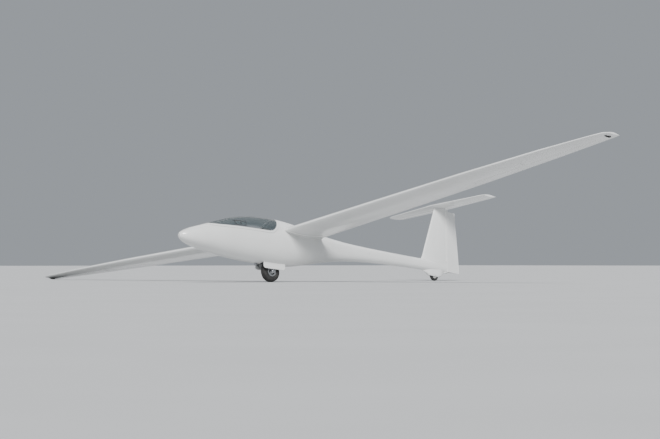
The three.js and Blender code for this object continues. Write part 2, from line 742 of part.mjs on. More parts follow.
function addCanopy() {
  const gap = RUN_GAP / 2;
  const shell = (inset) => cut(skin, hull(200, 2500, inset, 16, HULL_POINTS));
  const band = cut(aboveSill(gap), aboveSill(gap + FRAME_HEIGHT));
  const ears = HINGE_PLACES.map((place) =>
    cut(
      hingeLug(place - LUG.inner, place + LUG.inner, 1),
      hull(300, 2300, FRAME_WALL, 12, HULL_POINTS),
    ),
  );
  const holes = HINGE_PLACES.map((place) =>
    hingeBar(place - LUG.end, place + LUG.end, HINGE_PIN_R + PIN_GAP),
  );
  const rooms = HINGE_PLACES.flatMap((place) => [
    lugRoom(place - LUG.room, place - LUG.inner),
    lugRoom(place + LUG.inner, place + LUG.room),
  ]);
  const frame = cut(join(common(shell(FRAME_WALL), band), ...ears), ...holes, ...rooms);
  const glass = cut(common(shell(GLASS_WALL), aboveSill(gap + FRAME_HEIGHT + SEAT_GAP)), ...ears);
  piece('canopy_frame', frame, 'gelcoat');
  // The dome is parted into three lengths and along its middle
  const { rear, front } = GLASS_JOINS;
  const lengths = {
    rear: [-FAR, rear - SEAT_GAP / 2],
    middle: [rear + SEAT_GAP / 2, front - SEAT_GAP / 2],
    front: [front + SEAT_GAP / 2, NOSE_X],
  };
  for (const [length, along] of Object.entries(lengths)) {
    for (const [side, across] of Object.entries(HALVES)) {
      piece(`canopy_glass_${length}_${side}`, common(glass, box(...along, ...across, 0, ROOF_Z)), 'glass');
    }
  }
  joint('canopy', at(HINGE_PLACES[0], HINGE_Y, HINGE_Z), at(1, 0, 0));
}

// Cockpit

const floorFit = cabin(HULL_WALL + SEAT_GAP);
const SEAT_HALF = 245;

const [SEAT_FOOT, SEAT_HEAD] = SEAT_LINE.slice(-2);
const alongBack = (share) => SEAT_FOOT.map((v, i) => THREE.MathUtils.lerp(v, SEAT_HEAD[i], share));

// Pads on the seat: the line they lie on, half width, thickness
const PADS = {
  back_cushion: { line: [alongBack(0.1), alongBack(0.8)], half: 165, thick: 34 },
  seat_cushion: { line: SEAT_LINE.slice(1, 4), half: 150, thick: 28 },
  headrest: { line: [alongBack(0.84), alongBack(1)], half: 85, thick: 46 },
};
const WEB_THICK = 3;
const SHOULDER_STRAP = { line: [alongBack(0.14), alongBack(0.8)], from: 70, to: 115 };
const LAP_BELT = { line: [[650, 380.4], [605, 373.2]], half: 148 };

function addCockpit() {
  piece('seat_pan', common(slab(strip(SEAT_LINE, SEAT_THICK), -SEAT_HALF, SEAT_HALF), floorFit), 'trim');
  const onSeat = SEAT_THICK / 2 + SOFT_GAP;
  for (const [name, { line, half, thick }] of Object.entries(PADS)) {
    piece(name, slab(strip(line, thick, onSeat + thick / 2), -half, half), 'cushion');
  }
  const onPad = (pad) => onSeat + PADS[pad].thick + SEAT_GAP + WEB_THICK / 2;
  const shoulder = strip(SHOULDER_STRAP.line, WEB_THICK, onPad('back_cushion'));
  for (const [side, sign] of Object.entries(SIDES)) {
    const [y0, y1] = [sign * SHOULDER_STRAP.from, sign * SHOULDER_STRAP.to].sort((a, b) => a - b);
    piece(`shoulder_strap_${side}`, slab(shoulder, y0, y1), 'webbing');
  }
  const lap = strip(LAP_BELT.line, WEB_THICK, onPad('seat_cushion'));
  piece('lap_belt', slab(lap, -LAP_BELT.half, LAP_BELT.half), 'webbing');
}

const PANEL_X = 1130;
const PANEL_THICK = 5;
const PANEL_FACE = [
  [-190, 660], [190, 660], [190, 790], [165, 860], [95, 898], [-95, 898], [-165, 860], [-190, 790],
];
const PANEL_FOOT = PANEL_FACE[0][1];
// Instruments on the panel's face: across, up, radius
const DIALS = [
  [-118, 800, 41], [0, 836, 41], [118, 800, 41], [-62, 730, 41], [62, 730, 41], [0, 688, 20],
];
const BEZEL = { out: 7, into: 2 };
// The cowl's two ends: how far ahead of the panel, and its size there against the panel's face
const COWL = [
  { ahead: 4, width: 0.97, height: 1, foot: PANEL_FOOT },
  { ahead: 210, width: 0.55, height: 0.62, foot: 668 },
];
const PEDESTAL = { from: 20, to: 170, half: 75 };
const KNOB = { y: 150, z: 690, r: 17, stem: 40, stemR: 4, drop: 2, seat: 10 };

// Stick: its bars as ends and radii, and the half length and half width of the boot's plate on the floor
const STICK_BARS = [
  [[1030, 0, 300], [1000, 0, 560], 11, 11],
  [[1000, 0, 556], [962, 0, 640], 11, 11],
  [[962, 0, 636], [948, 0, 745], 19, 16],
];
const STICK_BOOT = { x: 1030, long: 40, half: 45, top: 375 };

const PEDALS = { x: 1560, y: 88, half: 42, thick: 6, bottom: 520, top: 660, barZ: 664, barR: 11 };
const PEDAL_TUBE = { half: 130, z: 530, r: 12 };
const PEDAL_POST = { long: 30, half: 26, bottom: 400, top: 535 };

// Levers on the side walls: side, height, rear end, front end
const LEVERS = {
  airbrake_lever: { sign: 1, z: 650, rear: 470, front: 900, material: 'blue' },
  gear_lever: { sign: -1, z: 620, rear: 560, front: 960, material: 'panel' },
};
const LEVER = { y: 258, r: 7, handle: 62, handleUp: 14, handleR: 12, arms: [40, -90], armR: 10 };
const FLOOR_Z = 300; // below the cockpit's floor

// Instrument panel with its cowl, pedestal and round instruments
function addPanel() {
  const cowl = loft(
    COWL.map(({ ahead, width, height, foot }) =>
      PANEL_FACE.map(([y, z]) => at(PANEL_X + ahead, y * width, foot + (z - PANEL_FOOT) * height)),
    ),
    ['y', 'z'],
  );
  const { from, to, half } = PEDESTAL;
  const pedestal = common(box(PANEL_X + from, PANEL_X + to, -half, half, FLOOR_Z, 700), floorFit);
  const bezels = DIALS.map(([y, z, r]) =>
    bar(at(PANEL_X - BEZEL.out, y, z), at(PANEL_X + BEZEL.into, y, z), r, r, 24),
  );
  const face = plate(PANEL_FACE, PANEL_X, PANEL_X + PANEL_THICK);
  piece('instrument_panel', join(face, cowl, pedestal, ...bezels), 'panel');
  const { y, z, r, stem, stemR, drop, seat } = KNOB;
  const ball = solid(new THREE.SphereGeometry(r, 14, 10).translate(PANEL_X - stem - seat, y, z));
  const rod = bar(at(PANEL_X - SEAT_GAP, y, z + drop), at(PANEL_X - stem, y, z), stemR);
  piece('tow_release_knob', join(rod, ball), 'yellow');
}

function addControls() {
  const boot = STICK_BOOT;
  const stick = join(
    ...STICK_BARS.map(([a, b, r, rEnd]) => bar(at(...a), at(...b), r, rEnd)),
    box(boot.x - boot.long, boot.x + boot.long, -boot.half, boot.half, FLOOR_Z, boot.top),
  );
  piece('control_stick', common(stick, floorFit), 'panel');

  // Rudder pedals on a cross tube, carried by a post from the floor
  const { x, y, half, thick, bottom, top, barZ, barR } = PEDALS;
  const pedals = [1, -1].flatMap((sign) => [
    box(x - thick, x + thick, sign * y - half, sign * y + half, bottom, top),
    bar(at(x, sign * y - half, barZ), at(x, sign * y + half, barZ), barR, barR, 12),
  ]);
  const tube = bar(
    at(x, -PEDAL_TUBE.half, PEDAL_TUBE.z),
    at(x, PEDAL_TUBE.half, PEDAL_TUBE.z),
    PEDAL_TUBE.r,
    PEDAL_TUBE.r,
    12,
  );
  const post = PEDAL_POST;
  const stand = box(x - post.long, x + post.long, -post.half, post.half, post.bottom, post.top);
  piece('rudder_pedals', common(join(...pedals, tube, stand), floorFit), 'alloy');

  for (const [name, { sign, z, rear, front, material }] of Object.entries(LEVERS)) {
    const across = sign * LEVER.y;
    const inner = across - sign * LEVER.handle;
    const grip = front - 8;
    const arm = (place) => bar(at(place, across, z), at(place, sign * 400, z), LEVER.armR, LEVER.armR, 12);
    const lever = join(
      bar(at(rear, across, z), at(front, across, z), LEVER.r, LEVER.r, 12),
      bar(at(grip, across, z), at(grip, inner, z + LEVER.handleUp), LEVER.handleR, LEVER.handleR, 12),
      arm(rear + LEVER.arms[0]),
      arm(front + LEVER.arms[1]),
    );
    piece(name, common(lever, floorFit), material);
  }
}

// Wheels: a profile of (radius, across) points turned about the axle, which lies along Y
function turned(profile, segments) {
  const points = profile.map(([r, y]) => new THREE.Vector2(r, y));
  const made = solid(new THREE.LatheGeometry([...points, points[0]], segments));
  return made.volume() > 0 ? made : turned([...profile].reverse(), segments);
}

const TYRE_SEAT = 0.72; // width at the rim over the full width
const TYRE_ROUND = 0.78; // under 1 is squarer than an ellipse
function tyreProfile(rim, outer, half) {
  const seat = half * TYRE_SEAT;
  const middle = (rim + outer) / 2;
  const crown = Array.from({ length: 11 }, (_, i) => {
    const angle = (i / 10 - 0.5) * Math.PI;
    const side = Math.sign(Math.sin(angle)) * Math.abs(Math.sin(angle)) ** TYRE_ROUND;
    return [middle + (outer - middle) * Math.abs(Math.cos(angle)) ** TYRE_ROUND, half * side];
  });
  return [[rim, -seat], ...crown, [rim, seat]];
}

// The main hub's section as (radius, across), from its middle outwards
const HUB_SIDE = [[58, 10], [62, 46], [RIM_R + 8, 53], [RIM_R + 8, 49.5], [RIM_R - SEAT_GAP, 46.6]];
const HUB_BOSS = [[AXLE_R + PIN_GAP, 46], [30, 46], [34, 12]];
const AXLE_HALF = 94;

// Fork: legs up to a cross tube between the bay's walls, and a brace ahead to a second tube
const LEG = { half: 6, foot: 22, head: 20, eye: 30 };
const FORK_TOP = { x: -70, z: 470, r: 17 };
const BRACE = { from: [-30, 320], to: [205, 470], r: 9, tube: 11 };
const HOOK = { x: 326, long: 26, half: 17, bottom: 262, top: 360, pin: { half: 22, z: 282, r: 9 } };
const HOOK_MOUNT_X = 343;
const DOOR_HANG = { top: 400, bottom: 312 - DOOR.drop, in: 1, out: 16, short: 4 };

function addUndercarriage() {
  const wheelZ = TYRE_R;
  const main = new THREE.Group();
  main.position.set(0, 0, wheelZ);
  glider.add(main);
  piece('main_tyre', turned(tyreProfile(RIM_R, TYRE_R, TYRE_HALF), 32), 'rubber', main);
  const half = [...HUB_BOSS, ...HUB_SIDE];
  const hub = [...half.map(([r, y]) => [r, -y]), ...half.reverse()];
  piece('main_hub', turned(hub, 32), 'alloy', main);
  piece('main_axle', bar(at(0, -AXLE_HALF, wheelZ), at(0, AXLE_HALF, wheelZ), AXLE_R, AXLE_R, 20), 'steel');
  joint('main_wheel', at(0, 0, wheelZ), at(0, 1, 0));

  const wallIn = BAY.half - SEAT_GAP;
  const top = FORK_TOP;
  const legs = [1, -1].flatMap((sign) => {
    const y = sign * LEG_Y;
    const [y0, y1] = [y - LEG.half, y + LEG.half];
    const outline = [
      [-LEG.foot, wheelZ], [top.x - LEG.head, top.z], [top.x + LEG.head, top.z], [LEG.foot, wheelZ],
    ];
    const [[x0, z0], [x1, z1]] = [BRACE.from, BRACE.to];
    return [
      slab(outline, y0, y1),
      bar(at(0, y0, wheelZ), at(0, y1, wheelZ), LEG.eye, LEG.eye, 20),
      bar(at(x0, y, z0), at(x1, y, z1), BRACE.r, BRACE.r, 12),
    ];
  });
  const [tubeX, tubeZ] = BRACE.to;
  const tubes = [
    bar(at(top.x, -wallIn, top.z), at(top.x, wallIn, top.z), top.r),
    bar(at(tubeX, -wallIn, tubeZ), at(tubeX, wallIn, tubeZ), BRACE.tube),
  ];
  const holeR = AXLE_R + PIN_GAP;
  const axleHole = bar(at(0, -BAY.half, wheelZ), at(0, BAY.half, wheelZ), holeR, holeR, 20);
  piece('gear_fork', cut(join(...legs, ...tubes), axleHole), 'steel');

  // Bay: a box in the belly, open below, fitted to the inside of the skin
  const { length, half: width, wall, top: roof } = BAY;
  const outerBox = box(-length - wall, length + wall, -width - wall, width + wall, 200, roof + wall);
  const innerBox = box(-length, length, -width, width, 100, roof);
  piece('wheel_bay', common(cut(outerBox, innerBox), floorFit), 'trim');

  // Doors hang open along the bay's sides, their upper edge against the belly
  const hang = DOOR_HANG;
  for (const [side, sign] of Object.entries(SIDES)) {
    const outline = [
      [sign * (width + hang.in), hang.top],
      [sign * (width + hang.in + DOOR.thick), hang.top],
      [sign * (width + hang.out + DOOR.thick), hang.bottom],
      [sign * (width + hang.out), hang.bottom],
    ];
    const door = plate(outline, -length + hang.short, length - hang.short);
    piece(`gear_door_${side}`, cut(door, skinGrown), 'gelcoat');
  }

  const { x, long, half: hookHalf, bottom, top: hookTop, pin } = HOOK;
  const hook = join(
    box(x - long, x + long, -hookHalf, hookHalf, bottom, hookTop),
    bar(at(x, -pin.half, pin.z), at(x, pin.half, pin.z), pin.r, pin.r, 12),
  );
  piece('tow_release', cut(hook, skinGrown), 'steel');
  mount('tow_release', at(HOOK_MOUNT_X, 0, bottom), at(0, 0, -1));
  mount('axle_end_left', at(0, AXLE_HALF, wheelZ), at(0, 1, 0));
  mount('axle_end_right', at(0, -AXLE_HALF, wheelZ), at(0, -1, 0));
}

// The tail hub's section as (radius, across), and half the length of its axle
const TAIL_HUB = [
  [TAIL_WHEEL.axle + PIN_GAP, 18], [20, 18], [22, 6], [38, 6], [40, 16], [TAIL_WHEEL.rim - SEAT_GAP, 16],
];
const TAIL_AXLE_HALF = 41;
// Tail fairing's sections: how far ahead of the wheel, half width, bottom
const TAIL_FAIRING = [
  [300, 8, 630], [200, 34, 585], [100, 48, 538], [-70, 50, 530], [-170, 40, 566], [-240, 12, 630],
];
const TAIL_FAIRING_TOP = { level: 690, rise: 20, slotEnd: 10, points: 20 };

function addTailWheel() {
  const { x, z, r, half, rim, axle, slot, room } = TAIL_WHEEL;
  const wheel = new THREE.Group();
  wheel.position.set(x, 0, z);
  glider.add(wheel);
  piece('tail_tyre', turned(tyreProfile(rim, r, half), 24), 'rubber', wheel);
  const hub = [...TAIL_HUB.map(([radius, y]) => [radius, -y]), ...[...TAIL_HUB].reverse()];
  piece('tail_hub', turned(hub, 24), 'alloy', wheel);
  piece('tail_axle', bar(at(x, -TAIL_AXLE_HALF, z), at(x, TAIL_AXLE_HALF, z), axle, axle, 16), 'steel');
  joint('tail_wheel', at(x, 0, z), at(0, 1, 0));
  const square = (v) => Math.sign(v) * Math.sqrt(Math.abs(v));
  const { level, rise, slotEnd, points } = TAIL_FAIRING_TOP;
  const rings = TAIL_FAIRING.map(([ahead, wide, low]) =>
    Array.from({ length: points }, (_, k) => {
      const angle = (k / points) * 2 * Math.PI;
      const up = Math.sin(angle) > 0 ? rise : level - low;
      return at(x + ahead, wide * square(Math.cos(angle)), level + up * square(Math.sin(angle)));
    }),
  );
  const hole = box(x - room + slotEnd, x + room - slotEnd, -slot, slot, 400, 800);
  const axleHole = bar(at(x, -60, z), at(x, 60, z), axle + PIN_GAP, axle + PIN_GAP, 16);
  piece('tail_wheel_fairing', cut(loft(rings, ['y', 'z']), skinGrown, hole, axleHole), 'gelcoat');
}

// Leans the glider until its main tyre, tail tyre and right tip skid all stand on the ground, and turns
// its nose to -X
function park(group, names) {
  const feet = names.map((name) => group.getObjectByName(name));
  const lowest = (mesh) => {
    const p = new THREE.Vector3();
    const best = new THREE.Vector3(0, 0, Infinity);
    for (let i = 0; i < mesh.geometry.attributes.position.count; i++) {
      p.fromBufferAttribute(mesh.geometry.attributes.position, i).applyMatrix4(mesh.matrixWorld);
      if (p.z < best.z) best.copy(p);
    }
    return best;
  };
  for (let turn = 0; turn < 8; turn++) {
    group.updateMatrixWorld(true);
    const [a, b, c] = feet.map(lowest);
    const normal = new THREE.Vector3().crossVectors(b.clone().sub(a), c.clone().sub(a)).normalize();
    if (normal.z < 0) normal.negate();
    const tilt = new THREE.Quaternion().setFromUnitVectors(normal, at(0, 0, 1));
    group.quaternion.premultiply(tilt);
  }
  const nose = new THREE.Vector3(1, 0, 0).applyQuaternion(group.quaternion);
  const heading = new THREE.Quaternion().setFromAxisAngle(at(0, 0, 1), Math.PI - Math.atan2(nose.y, nose.x));
  group.quaternion.premultiply(heading);
  group.updateMatrixWorld(true);
}

addWings();
addFuselage(addTail());
addCanopy();
addCockpit();
addPanel();
addControls();
addUndercarriage();
addTailWheel();
park(glider, ['main_tyre', 'tail_tyre', 'tip_skid_right']);

// The ground under the middle of the parked glider's box is the origin
const part = new THREE.Group();
part.name = 'sailplane';
part.add(glider);
const bounds = new THREE.Box3().setFromObject(part, true);
const middle = bounds.getCenter(new THREE.Vector3());
glider.position.sub(at(middle.x, middle.y, bounds.min.z));
part.updateMatrixWorld(true);

export default part;
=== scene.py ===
import json
import math

import bmesh
import bpy
import numpy as np
from mathutils import Matrix, Vector
from mathutils.bvhtree import BVHTree


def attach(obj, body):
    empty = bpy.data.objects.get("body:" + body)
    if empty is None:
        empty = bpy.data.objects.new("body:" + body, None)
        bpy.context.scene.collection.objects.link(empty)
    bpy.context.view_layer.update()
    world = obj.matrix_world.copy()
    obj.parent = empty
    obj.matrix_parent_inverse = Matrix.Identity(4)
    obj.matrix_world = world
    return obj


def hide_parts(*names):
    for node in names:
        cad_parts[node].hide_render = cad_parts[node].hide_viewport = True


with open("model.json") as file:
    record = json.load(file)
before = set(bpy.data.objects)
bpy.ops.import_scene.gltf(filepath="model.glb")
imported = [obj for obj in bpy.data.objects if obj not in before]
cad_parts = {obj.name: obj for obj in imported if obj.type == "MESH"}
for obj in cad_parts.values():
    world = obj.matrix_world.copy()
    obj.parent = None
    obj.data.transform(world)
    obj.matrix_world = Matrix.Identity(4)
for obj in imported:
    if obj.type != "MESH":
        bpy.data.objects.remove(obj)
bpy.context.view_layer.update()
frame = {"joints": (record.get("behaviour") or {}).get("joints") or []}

# The glider is drawn in its own level frame, in millimetres: +X forward, +Y left, +Z up, with the origin
# where the main wheel meets the ground. PARK leans it to stand on the ground, and is in metres.
MM = 0.001
SIDES = (("left", 1), ("right", -1))
TYRE_R = 185
TAIL_WHEEL = {"x": -4050, "z": 560, "r": 100, "half": 24, "rim": 52, "axle": 8, "slot": 32, "room": 135}


def parked():
    """The matrix from the glider's level frame to the shared frame, from the two wheels' axles."""
    joints = {joint["name"]: joint for joint in frame["joints"]}
    main, tail = (Vector(joints[name]["pos_m"]) for name in ("main_wheel_turn", "tail_wheel_turn"))
    main_level = Vector((0, 0, TYRE_R)) * MM
    tail_level = Vector((TAIL_WHEEL["x"], 0, TAIL_WHEEL["z"])) * MM

    def axes(a, b, left):
        forward = (a - b).normalized()
        left = (left - forward * left.dot(forward)).normalized()
        return Matrix((forward, left, forward.cross(left))).transposed()

    leaning = axes(main, tail, Vector(joints["main_wheel_turn"]["axis"]))
    turn = leaning @ axes(main_level, tail_level, Vector((0, 1, 0))).transposed()
    place = turn.to_4x4()
    place.translation = main - turn @ main_level
    return place


PARK = parked()

# Tables and sizes

NOSE_X = 2030
NOSE_Z = 600
TAIL_END = 6395
HULL_POWER = 2.2
HULL_WALL = 12
NOSE_BULKHEAD = 260
REAR_BULKHEAD = 2330

# Fuselage sections: distance behind the nose, half width, top, bottom, height of the widest place
HULL = [
    (0, 0, NOSE_Z, NOSE_Z, NOSE_Z),
    (60, 88, 676, 527, 602),
    (200, 158, 745, 467, 610),
    (450, 222, 828, 412, 628),
    (800, 276, 942, 362, 662),
    (1200, 306, 1056, 325, 696),
    (1600, 315, 1112, 305, 712),
    (2030, 312, 1118, 300, 722),
    (2400, 292, 1092, 318, 736),
    (2800, 240, 1036, 385, 745),
    (3200, 178, 974, 475, 748),
    (3700, 128, 918, 560, 750),
    (4300, 108, 884, 612, 752),
    (5100, 95, 860, 634, 750),
    (5900, 78, 844, 644, 746),
    (TAIL_END, 46, 838, 652, 744),
]

# The canopy's lower edge: at each end a curve through its end, its bend and the sill
SILL_Z = 800
CANOPY_FRONT = ((1540, 872), (1500, SILL_Z), (1250, SILL_Z))
CANOPY_REAR = ((-80, 1150), (40, SILL_Z), (250, SILL_Z))
CANOPY_SPAN = (380, 2300)
CLEAR_OF_HULL = {"side": 600, "roof": 1500}
FRAME_HEIGHT = 38
FRAME_WALL = 14
GLASS_WALL = 5
HINGE_Y = -320
HINGE_Z = 808
HINGE_PLACES = (250, 800)
HINGE_PIN_R = 5
LUG = {"r": 10, "half": 9, "room": 22, "ear": 9, "gap": 11, "out": 24}
LINING_FROM = -400
RUN_GAP = 5
PIN_GAP = 0.4
SEAT_GAP = 0.35

# Wing sections: distance out along the panel, leading edge, chord, thickness share
WING = [
    (0, -100, 905, 0.17),
    (355, -100, 900, 0.17),
    (2500, -132, 822, 0.16),
    (4500, -172, 720, 0.15),
    (6200, -250, 545, 0.14),
    (7200, -338, 385, 0.13),
    (7420, -372, 335, 0.13),
    (7510, -448, 240, 0.12),
]
WING_ROOT = 355
WING_STEP = 220
WING_Z = 885
WING_CAMBER = 0.025
DIHEDRAL = math.radians(3)
INCIDENCE = math.radians(2)
ROOT_FLARE = {"from": 200, "rings": 16, "power": 2.5, "ahead": 50, "chord": 110, "thick": 0.2}
AILERON = {"from": 4350, "to": 7180, "hinge_from": -705, "hinge_to": -622}
BRAKE = {"from": 2050, "to": 3350, "x": -545, "thick": 14, "floor": -22}
BRAKE_CAP = {"half": 9, "thick": 5}
BRAKE_BLADE = {"half": 1.5, "from_end": 4, "rail_half": 6, "rail_high": 3}
BRAKE_HOLES = {"r": 15, "pitch": 76, "rows": (0.3, 0.68), "from_end": 60}
SURFACE_REACH = 600

# Fin and rudder sections: height, leading edge, trailing edge
FIN = {"thickness": 0.11, "rows": [(640, -3560, -4724), (900, -3750, -4712), (1930, -4135, -4640)]}
FIN_TOP = 1862
RUDDER = {"bottom": 657, "top": 1832, "hinge_bottom": -4385, "hinge_top": -4424}

# Tailplane and elevator sections: distance out, leading edge, trailing edge
TAILPLANE = {"thickness": 0.115, "rows": [(0, -4020, -4532), (1210, -4132, -4484), (1275, -4160, -4462)]}
TAILPLANE_Z = 1902
ELEVATOR = {"half": 1195, "hinge": -4400}
PIN_R = 4.5
PIN_DEPTH = 16

# Undercarriage
TYRE_HALF = 64
RIM_R = 82
AXLE_R = 12
LEG_Y = 80
BAY = {"length": 250, "half": 100, "wall": 5, "low": 200, "top": 540}
DOOR = {"low": 214, "high": 400, "thick": 6, "splay": 12, "bow": 7, "corner": 30}
VENT = {"r": 17, "deep": 70}

# The seat's side line from under the knees to the head, as (x, z)
SEAT_LINE = [(930, 470), (760, 398), (560, 366), (450, 378), (385, 425), (-60, 925)]
SEAT_THICK = 8

# How finely forms are drawn: the fuselage along and around, a wing section's one side, and round bars
HULL_STATIONS = 220
HULL_POINTS = 144
FOIL_POINTS = 46
ROUND_SIDES = 48


# Shapes in plain numbers

def curve_through(rows, column, places, scale=np.sqrt):
    """A table's column at the given places, on a curve that doesn't overshoot between the rows."""
    xs = scale(np.array([row[0] for row in rows], float))
    ys = np.array([row[column] for row in rows], float)
    steps = np.diff(xs)
    slopes = np.diff(ys) / steps
    left, right = slopes[:-1], slopes[1:]
    mean = (left * steps[1:] + right * steps[:-1]) / (steps[:-1] + steps[1:])
    least = np.minimum(np.minimum(abs(left), abs(right)), abs(mean) / 2)
    tangents = np.concatenate([slopes[:1], (np.sign(left) + np.sign(right)) * least, slopes[-1:]])
    x = scale(np.clip(np.asarray(places, float), rows[0][0], rows[-1][0]))
    k = np.clip(np.searchsorted(xs, x, side="right") - 1, 0, len(steps) - 1)
    t = (x - xs[k]) / steps[k]
    m0, m1 = tangents[k] * steps[k], tangents[k + 1] * steps[k]
    low = ys[k] * (1 + 2 * t) * (1 - t) ** 2 + m0 * t * (1 - t) ** 2
    return low + ys[k + 1] * t * t * (3 - 2 * t) + m1 * t * t * (t - 1)


def straight(rows, column, place):
    """A table's column at a place, on straight lines between the rows."""
    return float(np.interp(place, [row[0] for row in rows], [row[column] for row in rows]))


def around(count):
    """Angles evenly spaced round a full turn."""
    return np.linspace(0, 2 * math.pi, count, endpoint=False)


def lengths_along(line):
    """How far along a line each of its points is."""
    return np.concatenate([[0], np.cumsum(np.linalg.norm(np.diff(line, axis=0), axis=1))])


def evenly(line, count):
    """A line's points spaced evenly along it."""
    length = lengths_along(line)
    places = np.linspace(0, length[-1], count)
    return np.stack([np.interp(places, length, column) for column in line.T], axis=-1)


def hull_sizes(distance):
    """The fuselage's half width, top, bottom and height of the widest place, at distances behind the nose."""
    return [curve_through(HULL, column, distance) for column in (1, 2, 3, 4)]


def hull_point(distance, angle, inset=0):
    """Points of the fuselage's section. Angle 0 is its left side and a quarter turn is its top."""
    half, top, bottom, wide = hull_sizes(distance)

    def shape(v):
        return np.sign(v) * abs(v) ** (2 / HULL_POWER)

    up = np.where(np.sin(angle) > 0, top - wide, wide - bottom)
    x = NOSE_X - distance + np.zeros_like(angle)
    y = np.maximum(half - inset, 0) * shape(np.cos(angle))
    z = wide + np.maximum(up - inset, 0) * shape(np.sin(angle))
    return np.stack([x, y, z], axis=-1)


def hull_depth(points):
    """How far inside the fuselage's skin each point is, roughly, in millimetres."""
    x, y, z = points.T
    half, top, bottom, wide = hull_sizes(NOSE_X - x)
    up = np.where(z > wide, top - wide, wide - bottom)
    reach = abs(y / np.maximum(half, 1)) ** HULL_POWER + abs((z - wide) / np.maximum(up, 1)) ** HULL_POWER
    return (1 - reach ** (1 / HULL_POWER)) * np.minimum(half, up)


def hull_side(x, z, inset=0):
    """How far out the fuselage's skin is at a place in side view."""
    half, top, bottom, wide = (float(size[0]) for size in hull_sizes([NOSE_X - x]))
    up = (top - wide if z > wide else wide - bottom) - inset
    share = min(abs(z - wide) / up, 1)
    return (half - inset) * (1 - share**HULL_POWER) ** (1 / HULL_POWER)


# Wing sections: share of the chord where they are thickest, slope at the tail, roundness of the nose, half
# thickness of the trailing edge in millimetres, and share of the chord where the camber is highest
THICKEST = 0.4
TAIL_SLOPE = 0.15
NOSE_ROUND = 0.2969
EDGE_HALF = 2
CAMBER_AT = 0.45


def half_thickness(share, thickness):
    """Half of a wing section's thickness at a share of its chord, for a chord of 1."""
    m, rear = THICKEST, 1 - THICKEST
    rho = (0.2 * rear**2) / (0.588 - 2 * TAIL_SLOPE * rear)
    front = (
        0.3 / m - (15 * NOSE_ROUND) / (8 * math.sqrt(m)) - m / (10 * rho),
        -0.3 / m**2 + (5 * NOSE_ROUND) / (4 * m**1.5) + 1 / (5 * rho),
        0.1 / m**3 - (0.375 * NOSE_ROUND) / m**2.5 - 1 / (10 * rho * m),
    )
    back = (
        TAIL_SLOPE,
        (0.294 - 2 * rear * TAIL_SLOPE) / rear**2,
        (-0.196 + rear * TAIL_SLOPE) / rear**3,
    )
    s, q = np.clip(share, 0, 1), 1 - np.clip(share, 0, 1)
    ahead = NOSE_ROUND * np.sqrt(s) + front[0] * s + front[1] * s**2 + front[2] * s**3
    behind = back[0] * q + back[1] * q**2 + back[2] * q**3
    return np.where(s < m, ahead, behind) * thickness / 0.2


def camber_line(share, camber):
    """The height of a section's middle line at a share of its chord, for a chord of 1."""
    p = CAMBER_AT
    ahead = camber / p**2 * (2 * p * share - share**2)
    behind = camber / (1 - p) ** 2 * (1 - 2 * p + 2 * p * share - share**2)
    return np.where(share < p, ahead, behind)


def foil(chord, thickness, camber):
    """A section as (share of chord, height), from the upper trailing edge by the nose to the lower one."""
    shares = (1 - np.cos(np.linspace(0, math.pi, FOIL_POINTS))) / 2
    half = half_thickness(shares, thickness) * chord
    half = np.where(shares > THICKEST, np.maximum(half, EDGE_HALF), half)
    middle = camber_line(shares, camber) * chord
    upper = np.stack([shares, middle + half], axis=-1)
    lower = np.stack([shares, middle - half], axis=-1)[1:]
    return np.concatenate([upper[::-1], lower])


def smooth_line(points, count):
    """A smooth curve through points, evenly spaced along it."""
    p = np.array(points, float)
    p = np.concatenate([2 * p[:1] - p[1:2], p, 2 * p[-1:] - p[-2:-1]])
    t = np.linspace(0, 1, 24, endpoint=False)[:, None]
    fine = []
    for a, b, c, d in zip(p, p[1:], p[2:], p[3:]):
        square, cube = 2 * a - 5 * b + 4 * c - d, 3 * b - a - 3 * c + d
        fine.append(0.5 * (2 * b + (c - a) * t + square * t**2 + cube * t**3))
    return evenly(np.concatenate([*fine, p[-2:-1]]), count)


def rounded(outline, turns=2):
    """A closed outline with its corners cut round."""
    points = np.array(outline, float)
    for _ in range(turns):
        ahead = np.roll(points, -1, axis=0)
        points = np.stack([points * 0.75 + ahead * 0.25, points * 0.25 + ahead * 0.75], axis=1).reshape(-1, 2)
    return points


def rectangle(a0, a1, b0, b1):
    return [(a0, b0), (a1, b0), (a1, b1), (a0, b1)]


def pad_outline(half_u, half_y, count=160, power=0.3):
    """A rounded rectangle about the origin, as (along, across) points."""
    angles = around(count)
    us = half_u * np.sign(np.cos(angles)) * abs(np.cos(angles)) ** power
    ys = half_y * np.sign(np.sin(angles)) * abs(np.sin(angles)) ** power
    return np.stack([us, ys], axis=-1)


def offset_loop(points, out):
    """A closed loop of plane points moved out of itself."""
    points = np.array(points, float)
    ahead = np.roll(points, -1, axis=0)
    way = ahead - np.roll(points, 1, axis=0)
    way /= np.maximum(np.linalg.norm(way, axis=1), 1e-9)[:, None]
    normal = np.stack([way[:, 1], -way[:, 0]], axis=-1)
    area = np.sum(points[:, 0] * ahead[:, 1] - ahead[:, 0] * points[:, 1])
    return points + normal * out * (1 if area > 0 else -1)


def strip(line, thick, shift=0):
    """The outline of a strip of even thickness along a line of (x, z) points."""
    line = np.array(line, float)
    way = np.concatenate([line[1:], line[-1:]]) - np.concatenate([line[:1], line[:-1]])
    way /= np.linalg.norm(way, axis=1)[:, None]
    normal = np.stack([way[:, 1], -way[:, 0]], axis=-1)
    return np.concatenate([line + normal * (shift + thick / 2), (line + normal * (shift - thick / 2))[::-1]])


# Meshes and solids

def new_object(verts, faces, name="solid"):
    mesh = bpy.data.meshes.new(name)
    mesh.from_pydata([tuple(map(float, v)) for v in verts], [], faces)
    mesh.update()
    return linked(name, mesh)


def linked(name, data):
    obj = bpy.data.objects.new(name, data)
    bpy.context.scene.collection.objects.link(obj)
    return obj


